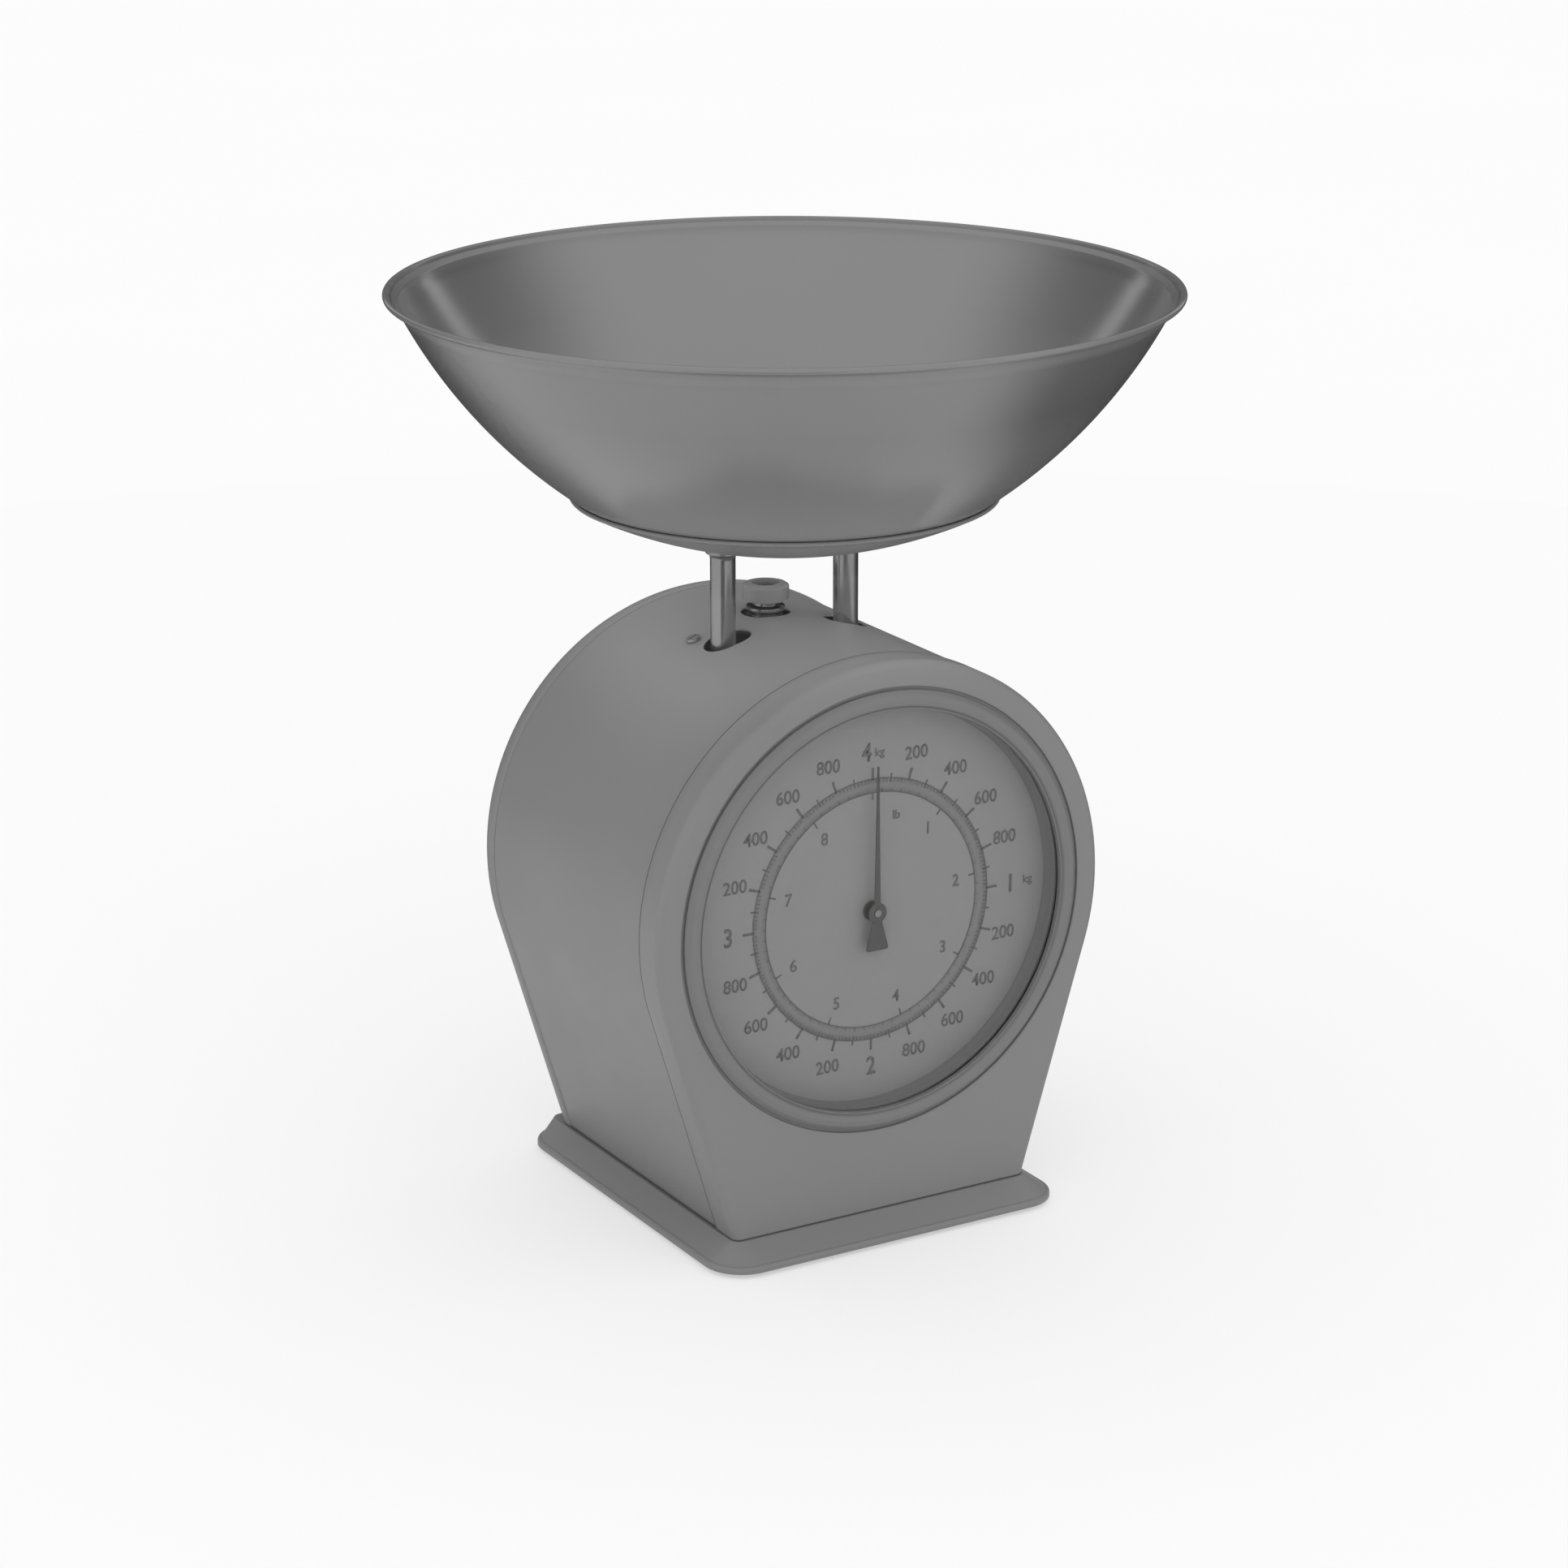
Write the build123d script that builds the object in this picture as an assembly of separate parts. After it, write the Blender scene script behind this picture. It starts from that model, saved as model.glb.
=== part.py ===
from build123d import *
from math import acos, asin, atan2, cos, degrees, hypot, pi, radians, sin, sqrt
import os

# Mechanical dial kitchen scale, in millimetres. +Z up, +Y to the rear, the dial faces -Y.
# The origin is on the table under the axis of the weighing bowl.

# ---------------------------------------------------------------- driving dimensions
# Body seen from the front: a round arch on two straight sides that lean in towards the base
arch_radius = 80.0
arch_z = 107.4
foot_half_width = 53.55
foot_z = 8.5
half_depth = 60.6
cover_depth = 12.0
cover_lap = 2.0
sheet = 0.5
wrap_step = 0.5
front_edge_fillet = 2.6
rear_edge_fillet = 9.9

# Flared base that the body stands on
base_half_width = 62.85
base_front_y = -71.0
base_rear_y = 64.6
base_corner = 13.0
base_rim_z = 1.5
base_shoulder_z = 3.6
base_shoulder_inset = 1.3
base_top_margin = 0.8
base_sheet = 1.0
base_rim_fillet = 1.17
foot_x = 46.0
feet_y = (-52.0, 46.0)
foot_radius = 7.5
foot_chamfer = 0.8
foot_taper = 1.2
foot_recess_radius = 3.6
foot_recess_z = 1.6

# Dial opening, bezel, lens and dial
bezel_outer = 71.0
bezel_crest = 67.2
bezel_inner = 65.0
bezel_proud = 1.8
bezel_inner_proud = 0.9
collar_outer = 67.0
lens_radius = 65.8
lens_front_y = -59.8
lens_thickness = 1.6
dial_z = 105.8
dial_front_y = -53.0
dial_radius = 68.0
card_thickness = 0.4
dial_plate_thickness = 1.2
dial_hole_radius = 2.6
clamp_width = 3.4
clamp_thickness = 1.2
pillar_x = 32.0
pillar_rise = 25.0
pillar_radius = 3.0
fit_gap = 0.1
face_gap = 0.02

# Pointer train: a rack on the carriage turns a small pinion on the pointer shaft
pinion_teeth = 10
gear_module = 0.4
pitch_radius = pinion_teeth * gear_module / 2
gear_y = (-30.0, -25.0)
rack_root, rack_tip = 1.1, 0.9
rack_root_half, rack_tip_half = 0.30, 0.13
rack_teeth_below = 3
rack_back_x = 6.0
rack_arm_gap = 0.6
pinion_root, pinion_tip = 1.15, 0.85
pinion_root_half, pinion_tip_half = 0.27, 0.10
rack_tooth_overlap = 0.01
pinion_tooth_overlap = 0.2
shaft_radius = 1.2
shaft_y = (-57.0, -16.6)
clip_radius = 2.6
clip_y = (-17.6, -16.8)
bush_radius = 3.0
bush_flange_radius = 4.2
bush_flange = 1.2
rear_bush_y = (-21.0, -19.0)
bridge_x = (-24.0, -15.5, -14.0, 6.0)
bridge_drop = 7.0
bridge_rise = 6.0
bridge_sheet = 1.5
pointer_y = (-56.6, -56.2)
pointer_tip = 47.5
pointer_tail = 12.3
needle_half_widths = (1.1, 0.25)
tail_half_width = 4.0
boss_radius = 2.6
hub_radius = 2.2
hub_length = 1.0

# Carriage, posts and platter
travel = 12.5
post_x = 22.4
post_radius = 4.0
carriage_top_z = 124.0
carriage_plate = 2.5
top_bar_y = (-8.0, 6.0)
strap_x = 30.0
strap_thickness = 2.0
strap_rear_y = 8.0
lower_bar_z = 55.0
channel_y = (6.0, 18.0)
channel_wall = 1.2
channel_floor = 1.5
channel_wall_height = 11.0
gusset_height = 15.0
pin_overhang = 5.0
post_flare = 2.0
post_flare_drop = 5.0
post_flare_rise = 0.8
post_head_rise = 4.0
post_bore = 2.0
washer_radius = 5.2
washer_rise = 1.4
platter_sphere = 149.0
platter_bottom_z = 211.6
platter_rim_radius = 66.5
platter_bead = 0.65
platter_bead_shift = 0.25
platter_sheet = 1.0

# Bowl: the wall is one arc of revolution, then a flared lip
bowl_arc_centre = (-26.85, 363.5)
bowl_arc_radius = 163.8
bowl_foot_z = 228.6
bowl_corner_radius = 12.0
bowl_wall_top_z = 288.0
bowl_lip_radius = 123.4
bowl_lip_z = 293.3
bowl_lip_bend = (1.2, 2.4)
bowl_lip_tilt = radians(40)
bowl_bead = 1.0
bowl_sheet = 0.9

# Zero adjustment: knob, screw, and the bar that the springs hang from
knob_y = 12.0
knob_radius = 7.5
knob_bottom_z = 190.9
knob_edge_z = 195.8
knob_top_z = 196.4
knob_recess_radius = 4.15
knob_recess_depth = 1.8
knob_chamfer = 0.4
knob_bevel = 0.3
collar_bottom_z = 182.0
collar_radius = 4.2
collar_flange_radius = 5.4
collar_flange_z = (185.2, 186.4)
collar_ring_radius = 4.7
collar_ring_z = (187.9, 189.3)
collar_bevel = 0.3
screw_recess = 1.2
screw_radius = 2.9
screw_bottom_z = 130.0
shoulder_radius = 5.5
shoulder_z = (2.05, 5.0)
running_gap = 0.05
hanger_half_length = 38.5
hanger_tab_x = 42.5
hanger_tab_half_width = 2.8
hanger_z = (134.0, 144.5)
nut_radius = 5.0
nut_bottom_z = 138.0

# Fixed frame
upright_x = 39.0
upright_thickness = 2.0
upright_y = (6.5, 44.0)
frame_top_z = 150.0
frame_sheet = 2.0
frame_window_z = (20.0, 56.0)
frame_window_inset = 8.0
guide_slot_half_width = 3.0
guide_slot_z = (130.0, 148.5)
frame_screw_x = 26.0
frame_screws_y = (-34.0, 12.0, 38.0)
stop_radius = 6.0
stop_gap = 0.3
rod_overhang = 1.5
lever_y = 34.0
lever_length = 34.0
upper_lever_z = 98.0
lower_lever_z = 68.0
lever_tilt = degrees(travel / lever_length) / 2
pin_radius = 2.0
front_plate_y = (-44.0, -42.0)
front_plate_half_width = 38.0
front_plate_top_z = 138.0
front_plate_foot = 14.0
front_window_half_width = 20.0
front_window_z = (30.0, 80.0)
arm_gap = 1.5
arm_thickness = 2.0
arm_half_width = 4.5
arm_slot_slack = 1.2
arm_window = (10.0, 4.0)
arm_pin_gap = 0.4
sleeve_radius = 3.6

# Extension springs between the hanging bar and the carriage
spring_x = 18.0
spring_y = 12.0
spring_coil_radius = 4.0
spring_wire_radius = 0.6
spring_top_z = 135.0
spring_bottom_z = 64.4
spring_turns = 20
upper_pin_rise = 2.05
lower_pin_drop = 1.6
spring_pin_radius = 1.0
spring_pin_y = (6.0, 18.0)

# Slots and holes in the top of the body
slot_x = 21.8
slot_y = -1.7
slot_length = 15.4
slot_width = 12.4
knob_hole_radius = 7.9
top_screw_x = 28.0
top_screw_y = 9.0
top_screw_lift = 0.1

# Plate under the top, and the brackets that the rear cover is screwed to
stiffener_thickness = 1.5
stiffener_y = (-14.0, 26.0)
stiffener_half_width = 36.0
stiffener_margin = 0.8
upper_rear_screw = (46.0, 142.0)
lower_rear_screw = (42.0, 26.0)
bracket_strip = (46.0, 11.0)
bracket_shift = 18.0
bracket_thickness = 1.5
bracket_foot = 9.0
bracket_tube_radius = 3.5

# Screws: head radius, head height, shank radius, shank length
rear_cover_screw = (3.2, 1.8, 1.5, 10.4)
top_screw = (2.3, 1.1, 1.4, 4.6)
foot_screw = (3.0, 1.4, 1.5, 8.4)
frame_screw = (3.2, 1.8, 1.9, 3.4)
platter_screw = (4.0, 1.6, 2.0, 10.0)
post_screw = (3.8, 2.0, 2.0, 10.0)
clearance = 0.1

# How far a cutting shape runs past the face that it opens
past = 1.0


# ---------------------------------------------------------------- helpers
def slab(sketch, y_front, y_back):
    """A front-view sketch (x across, y up) made solid between two depths."""
    return extrude(Plane.XZ.offset(-y_back) * sketch, amount=y_back - y_front)


def rod_x(radius, x_from, x_to, y, z):
    """A round bar along X."""
    return Pos(x_from, y, z) * Rot(0, 90, 0) * extrude(Circle(radius), amount=x_to - x_from)


def rod_y(radius, y_from, y_to, x, z):
    """A round bar along Y."""
    return Pos(x, y_from, z) * Rot(-90, 0, 0) * extrude(Circle(radius), amount=y_to - y_from)


def rod_z(radius, z_from, z_to, x, y):
    """A round bar along Z."""
    return Pos(x, y, z_from) * extrude(Circle(radius), amount=z_to - z_from)


def block(x_from, x_to, y_from, y_to, z_from, z_to):
    """A box given by its corners."""
    size = (x_to - x_from, y_to - y_from, z_to - z_from)
    centre = ((x_from + x_to) / 2, (y_from + y_to) / 2, (z_from + z_to) / 2)
    return Pos(*centre) * Box(*size)


def turned(points):
    """A solid of revolution about Z from (radius, z) corners."""
    profile = make_face(Polyline(*points, close=True))
    return revolve(Plane.XZ * profile, axis=Axis.Z)


def mirrored_pair(solid):
    """A solid and its mirror image on the other side of the YZ plane."""
    return group([solid, mirror(solid, about=Plane.YZ)])


def placed(solid, places):
    """Copies of one solid at several places, kept as separate solids."""
    return group([Pos(*place) * solid for place in places])


def group(solids):
    """Several shapes as one node, kept as separate solids."""
    return Compound(children=[s for one in solids for s in one.solids()])


def pan_screw(head_radius, head_height, shank_radius, shank_length):
    """A pan-head screw along Z, its head's seat at z 0 and its shank below."""
    rounding = 0.45 * head_height
    slot_size = (1.5 * head_radius, 0.25 * head_radius, 0.7 * head_height)
    head = extrude(Circle(head_radius), amount=head_height)
    head = fillet(head.faces().sort_by(Axis.Z)[-1].edges(), rounding)
    slot = Pos(0, 0, head_height) * Box(*slot_size)
    shank = Pos(0, 0, -shank_length) * extrude(Circle(shank_radius), amount=shank_length)
    return head - slot + shank


# ---------------------------------------------------------------- body shells
def body_outline(inset, bottom_z):
    """The body's front view, inset evenly: an arch, and sides tangent to it down to bottom_z."""
    foot_angle = atan2(foot_half_width, foot_z - arch_z)
    foot_distance = hypot(foot_half_width, foot_z - arch_z)
    side_angle = foot_angle - acos(arch_radius / foot_distance)
    normal_x = sin(side_angle)
    normal_z = cos(side_angle)
    radius = arch_radius - inset
    tangent = (radius * normal_x, arch_z + radius * normal_z)
    foot = ((radius - normal_z * (bottom_z - arch_z)) / normal_x, bottom_z)
    edges = ThreePointArc((-tangent[0], tangent[1]), (0, arch_z + radius), tangent)
    edges += Line(tangent, foot)
    edges += Line(foot, (-foot[0], foot[1]))
    edges += Line((-foot[0], foot[1]), (-tangent[0], tangent[1]))
    return make_face(edges)


def pressed_cover(y_face, y_open, edge_fillet):
    """A pressed tray with the body's outline: closed at y_face, open at y_open and underneath."""
    y_front, y_back = min(y_face, y_open), max(y_face, y_open)
    outer = slab(body_outline(0, foot_z), y_front, y_back)
    face_edges = outer.faces().filter_by(Axis.Y).sort_by(lambda f: abs(f.center().Y - y_face))[0].edges()
    outer = fillet(face_edges.sort_by(Axis.Z)[1:], edge_fillet)
    inward = 1 if y_open > y_face else -1
    inner_face = y_face + inward * sheet
    inner_open = y_open + inward * past
    y_front, y_back = min(inner_face, inner_open), max(inner_face, inner_open)
    inner = slab(body_outline(sheet, foot_z - past), y_front, y_back)
    face_edges = inner.faces().filter_by(Axis.Y).sort_by(lambda f: abs(f.center().Y - inner_face))[0].edges()
    inner = fillet(face_edges.sort_by(Axis.Z)[1:], edge_fillet - sheet)
    return outer - inner


def front_cover():
    """The front tray, with a round hole that the bezel's collar goes through."""
    tray = pressed_cover(-half_depth, -half_depth + cover_depth, front_edge_fillet)
    return tray - rod_y(collar_outer + fit_gap, -half_depth - past, -half_depth + sheet + past, 0, arch_z)


def rear_screw_places():
    """Centres of the rear cover's screws on its flat face."""
    return [(side * x, z) for x, z in (upper_rear_screw, lower_rear_screw) for side in (-1, 1)]


def rear_cover():
    """The rear tray, with holes for its screws."""
    tray = pressed_cover(half_depth, half_depth - cover_depth, rear_edge_fillet)
    hole_radius = rear_cover_screw[2] + 2 * clearance
    for x, z in rear_screw_places():
        tray -= rod_y(hole_radius, half_depth - sheet - past, half_depth + past, x, z)
    return tray


def rear_cover_screws():
    screw = Rot(-90, 0, 0) * pan_screw(*rear_cover_screw)
    return placed(screw, [(x, half_depth, z) for x, z in rear_screw_places()])


def cover_bracket(x, z):
    """An angle bracket on the wrap's inner wall, with a spacer tube up to the rear cover."""
    inset = wrap_step + sheet
    plate_y = half_depth - rear_cover_screw[3]
    plate_rear_y = plate_y + bracket_thickness
    angle = degrees(atan2(z - arch_z, x)) if z > arch_z else (0 if x > 0 else 180)
    strip = Pos(x, z) * Rot(0, 0, angle) * Pos(bracket_shift, 0) * Rectangle(*bracket_strip)
    inside = body_outline(inset, foot_z)
    plate = slab(strip & inside, plate_y, plate_rear_y)
    foot = (strip & inside) - body_outline(inset + bracket_thickness, foot_z)
    foot = slab(foot, plate_y - bracket_foot, plate_rear_y)
    tube = rod_y(bracket_tube_radius, plate_y, half_depth - sheet, x, z)
    hole = rod_y(rear_cover_screw[2] + clearance, plate_y - past, half_depth, x, z)
    return plate + foot + tube - hole


def rear_cover_brackets():
    return group([cover_bracket(x, z) for x, z in rear_screw_places()])


def top_slot(extra):
    """The outline of a post's slot, seen from above, grown by extra on every side."""
    length = slot_length + 2 * extra
    width = slot_width + 2 * extra
    return SlotOverall(length, width)


def on_arch(x, y, solid):
    """A solid moved from the origin to the wrap's outer face at (x, y), square to the arch."""
    radius = arch_radius - wrap_step
    rise = sqrt(radius ** 2 - x ** 2)
    return Pos(x, y, arch_z + rise) * Rot(0, degrees(atan2(x, rise)), 0) * solid


def cut_top_holes(shell, extra):
    """Cut the post slots, the knob's hole and the two screw holes through the top of a shell."""
    cutter_z = arch_z + arch_radius / 2
    for side in (-1, 1):
        shell -= Pos(side * slot_x, slot_y, cutter_z) * extrude(top_slot(extra), amount=arch_radius)
        shell -= on_arch(side * top_screw_x, top_screw_y, rod_z(top_screw[2], -top_screw[3], past, 0, 0))
    return shell - rod_z(knob_hole_radius + extra, cutter_z, cutter_z + arch_radius, 0, knob_y)


def wrap_shell():
    """The bent sheet between the covers; its ends run under their lips."""
    reach = half_depth - cover_depth + cover_lap
    outer = slab(body_outline(wrap_step, foot_z), -reach, reach)
    inner = slab(body_outline(wrap_step + sheet, foot_z - past), -reach - past, reach + past)
    return cut_top_holes(outer - inner, 0.0)


def top_stiffener():
    """A curved plate under the top of the wrap, with the same openings, a little larger."""
    inset = wrap_step + sheet
    section = body_outline(inset, foot_z) - body_outline(inset + stiffener_thickness, foot_z - past)
    plate = slab(section, *stiffener_y)
    half = stiffener_half_width
    plate = plate & block(-half, half, *stiffener_y, arch_z, arch_z + arch_radius)
    return cut_top_holes(plate, stiffener_margin)


def top_screws():
    """Two low round-head screws that hold the stiffener up against the wrap."""
    screw = Pos(0, 0, top_screw_lift) * pan_screw(*top_screw)
    return group([on_arch(side * top_screw_x, top_screw_y, screw) for side in (-1, 1)])


def base_section(inset, z):
    """A rounded rectangle round the base's outer edge, inset evenly, at height z."""
    width = 2 * (base_half_width - inset)
    depth = base_rear_y - base_front_y - 2 * inset
    centre_y = (base_rear_y + base_front_y) / 2
    return Pos(0, centre_y, z) * RectangleRounded(width, depth, base_corner - inset)


def base_top_section(inset, z):
    """A rounded rectangle just outside the body's foot, inset evenly, at height z."""
    width = 2 * (foot_half_width + base_top_margin - inset)
    depth = 2 * (half_depth + base_top_margin - inset)
    return Pos(0, 0, z) * RectangleRounded(width, depth, front_edge_fillet + base_top_margin - inset)


def base_form(inset):
    """The base's outer form, inset evenly: an upright rim, then a skirt that rises to the body."""
    rim = extrude(base_section(inset, base_rim_z), amount=base_shoulder_z - base_rim_z)
    rim = fillet(rim.faces().sort_by(Axis.Z)[-1].edges(), base_rim_fillet)
    lower = base_section(inset + base_shoulder_inset, base_shoulder_z)
    upper = base_top_section(inset, foot_z - inset)
    return rim + loft([lower, upper], ruled=True)


def feet_places(z):
    return [(side * foot_x, y, z) for y in feet_y for side in (-1, 1)]


def base_plate():
    """The pressed base: a skirted tray, open underneath."""
    hollow = base_form(base_sheet) + extrude(base_section(base_sheet, base_rim_z - past), amount=past)
    tray = base_form(0) - hollow
    for x, y, z in feet_places(foot_z):
        tray -= rod_z(foot_screw[2] + clearance, z - base_sheet - past, z + past, x, y)
    return tray


def rubber_feet():
    """Four tapered feet with a recess underneath for the screw's head."""
    top_z = foot_z - base_sheet
    hole = foot_screw[2] + clearance
    foot = turned([(hole, foot_recess_z), (foot_recess_radius, foot_recess_z), (foot_recess_radius, 0),
                   (foot_radius - foot_chamfer, 0), (foot_radius, foot_chamfer),
                   (foot_radius - foot_taper, top_z), (hole, top_z)])
    return placed(foot, feet_places(0))


def foot_screws():
    screw = Rot(180, 0, 0) * pan_screw(*foot_screw)
    return placed(screw, feet_places(foot_recess_z - running_gap))


# ---------------------------------------------------------------- dial and bezel
def bezel_ring():
    """A rounded bead on a collar that drops into the front cover."""
    front = -half_depth
    lip = front - bezel_inner_proud
    back = dial_front_y - face_gap
    seat = lens_radius + fit_gap
    arc = ThreePointArc((bezel_inner, lip), (bezel_crest, front - bezel_proud), (bezel_outer, front))
    rest = Polyline((bezel_outer, front), (collar_outer, front), (collar_outer, back), (seat, back),
                    (seat, lens_front_y), (bezel_inner, lens_front_y), (bezel_inner, lip))
    profile = make_face(arc + rest)
    return Pos(0, 0, arch_z) * Rot(-90, 0, 0) * revolve(Plane.XZ * profile, axis=Axis.Z)


def bezel_clamp_ring():
    """The ring behind the front cover's face that grips the bezel's collar."""
    y_from = -half_depth + sheet
    y_to = y_from + clamp_thickness
    ring = rod_y(collar_outer + clamp_width, y_from, y_to, 0, arch_z)
    return ring - rod_y(collar_outer, y_from - past, y_to + past, 0, arch_z)


def lens():
    return rod_y(lens_radius, lens_front_y, lens_front_y + lens_thickness, 0, arch_z)


def lens_spacer():
    """The ring that keeps the lens off the dial."""
    y_from = lens_front_y + lens_thickness
    y_to = dial_front_y - face_gap
    ring = rod_y(lens_radius, y_from, y_to, 0, arch_z)
    return ring - rod_y(bezel_inner, y_from - past, y_to + past, 0, arch_z)


def dial_disc(y_from, y_to):
    """A disc behind the bezel, with the shaft's hole below its centre."""
    disc = rod_y(dial_radius, y_from, y_to, 0, arch_z)
    return disc - rod_y(dial_hole_radius, y_from - past, y_to + past, 0, dial_z)


def dial_card():
    return dial_disc(dial_front_y, dial_front_y + card_thickness)


def dial_plate():
    y_from = dial_front_y + card_thickness
    return dial_disc(y_from, y_from + dial_plate_thickness)


def dial_pillars():
    """Spacers between the dial plate and the bearing plate behind it."""
    y_from = dial_front_y + card_thickness + dial_plate_thickness
    places = [(side * pillar_x, dial_z + rise) for side in (-1, 1) for rise in (-pillar_rise, pillar_rise)]
    return group([rod_y(pillar_radius, y_from, front_plate_y[0], x, z) for x, z in places])


# ---------------------------------------------------------------- fixed frame
def bearing_plate():
    """The upright plate behind the dial; a turned-back foot carries it on the base."""
    y_from, y_to = front_plate_y
    half = front_plate_half_width
    window_half = front_window_half_width
    plate = block(-half, half, y_from, y_to, foot_z, front_plate_top_z)
    foot = block(-half, half, y_to, y_to + front_plate_foot, foot_z, foot_z + frame_sheet)
    window = block(-window_half, window_half, y_from - past, y_to + past, *front_window_z)
    hole = rod_y(bush_radius, y_from - past, y_to + past, 0, dial_z)
    return plate + foot - window - hole


def shaft_bush(y_from, y_to):
    """A flanged bush that the pointer shaft turns in."""
    bush = rod_y(bush_radius, y_from, y_to, 0, dial_z)
    bush += rod_y(bush_flange_radius, y_to, y_to + bush_flange, 0, dial_z)
    return bush - rod_y(shaft_radius + running_gap, y_from - past, y_to + bush_flange + past, 0, dial_z)


def shaft_bridge():
    """A small cranked bracket that holds the shaft's rear bush behind the pinion."""
    y_front = front_plate_y[1]
    y_from, y_to = rear_bush_y
    heights = (dial_z - bridge_drop, dial_z + bridge_rise)
    flange_x, wall_x, corner_x, end_x = bridge_x
    flange = block(flange_x, corner_x, y_front, y_front + bridge_sheet, *heights)
    side = block(wall_x, corner_x, y_front, y_to, *heights)
    rear = block(wall_x, end_x, y_from, y_to, *heights)
    return flange + side + rear - rod_y(bush_radius, y_from - past, y_to + past, 0, dial_z)


def main_frame():
    """Two uprights on a floor strap, tied at the top by the bar that carries the zero screw."""
    outer_x = upright_x + upright_thickness
    cut_x = outer_x + past
    y_from, y_to = upright_y
    frame = block(-outer_x, outer_x, y_from, y_to, foot_z, frame_top_z + frame_sheet)
    frame -= block(-upright_x, upright_x, y_from - past, y_to + past, foot_z + frame_sheet, frame_top_z)
    guide_y = (knob_y - guide_slot_half_width, knob_y + guide_slot_half_width)
    window_y = (y_from + frame_window_inset, y_to - frame_window_inset)
    frame -= block(-cut_x, cut_x, *guide_y, *guide_slot_z)
    frame -= block(-cut_x, cut_x, *window_y, *frame_window_z)
    bore_z = (frame_top_z - past, frame_top_z + frame_sheet + past)
    frame -= rod_z(screw_radius + running_gap, *bore_z, 0, knob_y)
    for z in (upper_lever_z, lower_lever_z):
        frame -= rod_x(pin_radius, -cut_x, cut_x, lever_y, z)
    return frame


def frame_screw_places():
    """Centres of the screws that hold the frame parts to the base, seen from above."""
    return [(side * frame_screw_x, y) for side in (-1, 1) for y in frame_screws_y]


def frame_screws():
    screw = pan_screw(*frame_screw)
    return placed(screw, [(x, y, foot_z + frame_sheet) for x, y in frame_screw_places()])


def drill_frame_holes(solid):
    """Holes for the screws that hold the frame parts to the base."""
    for x, y in frame_screw_places():
        solid -= rod_z(frame_screw[2], foot_z - base_sheet - past, foot_z + frame_sheet + past, x, y)
    return solid


def lever_rod(z):
    reach = upright_x + upright_thickness + rod_overhang
    return rod_x(pin_radius, -reach, reach, lever_y, z)


def overload_stop():
    """A soft pillar just under the carriage's lowest place."""
    return rod_z(stop_radius, foot_z + frame_sheet, lower_bar_z - travel - stop_gap, 0, spring_y)


# ---------------------------------------------------------------- carriage
def carriage_frame():
    """A rectangular hoop that hangs from the posts and ends in a channel for the springs."""
    outer_x = strap_x + strap_thickness
    top_z = carriage_top_z + carriage_plate
    y_front = top_bar_y[0]
    y_rear = channel_y[1]
    wall_top_z = lower_bar_z + channel_wall_height
    frame = block(-outer_x, outer_x, y_front, y_rear, lower_bar_z, top_z)
    frame -= block(-strap_x, strap_x, y_front - past, y_rear + past, lower_bar_z - past, top_z + past)
    frame -= block(-outer_x - past, outer_x + past, strap_rear_y, y_rear + past,
                   lower_bar_z + gusset_height, top_z + past)
    frame += block(-outer_x, outer_x, *top_bar_y, carriage_top_z, top_z)
    frame += block(-outer_x, outer_x, y_front, y_rear, lower_bar_z, lower_bar_z + channel_floor)
    for wall_y in (channel_y[0], y_rear - channel_wall):
        frame += block(-outer_x, outer_x, wall_y, wall_y + channel_wall, lower_bar_z, wall_top_z)
    for z in carriage_pin_heights():
        frame -= rod_x(pin_radius, -outer_x - past, outer_x + past, 0, z)
    pin_z = lower_spring_pin_z()
    for side in (-1, 1):
        frame -= rod_z(post_screw[2], carriage_top_z - past, top_z + past, side * post_x, 0)
        frame -= rod_y(spring_pin_radius, channel_y[0] - past, y_rear + past, side * spring_x, pin_z)
    return frame


def carriage_pin_heights():
    """Heights of the lever pins on the unloaded carriage, half the travel above the lever rods."""
    return [upper_lever_z + travel / 2, lower_lever_z + travel / 2]


def carriage_pins():
    reach = strap_x + strap_thickness + pin_overhang
    return group([rod_x(pin_radius, -reach, reach, 0, z) for z in carriage_pin_heights()])


def lower_spring_pin_z():
    return spring_bottom_z - lower_pin_drop


def upper_spring_pin_z():
    return spring_top_z + upper_pin_rise


def spring_pins(z):
    return group([rod_y(spring_pin_radius, *spring_pin_y, side * spring_x, z) for side in (-1, 1)])


def platter_ball(radius):
    """The sphere that the platter's underside belongs to, as a solid to cut with."""
    return Pos(0, 0, platter_bottom_z + platter_sphere) * Sphere(radius)


def dish_height(r, offset):
    """Height of the platter's dished sheet at radius r, offset up from its underside."""
    ball = platter_sphere - offset
    return platter_bottom_z + platter_sphere - sqrt(ball ** 2 - r ** 2)


def dish_arc(offset):
    """Half of the dished sheet's section, offset up from its underside, from the middle out."""
    radii = (0, platter_rim_radius / 2, platter_rim_radius)
    return ThreePointArc(*[(r, dish_height(r, offset)) for r in radii])


def platter():
    """A shallow spherical dish with a small rolled rim, which the bowl sits in."""
    under = dish_arc(0)
    upper = dish_arc(platter_sheet)
    section = make_face(under + upper + Line(under @ 0, upper @ 0) + Line(under @ 1, upper @ 1))
    dish = revolve(Plane.XZ * section, axis=Axis.Z)
    bead_z = dish_height(platter_rim_radius, platter_sheet / 2)
    bead = Pos(platter_rim_radius + platter_bead_shift, bead_z) * Circle(platter_bead)
    dish += revolve(Plane.XZ * bead, axis=Axis.Z)
    for side in (-1, 1):
        dish -= rod_z(platter_screw[2], platter_bottom_z - past, washer_top_z(), side * post_x, 0)
    return dish


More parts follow.
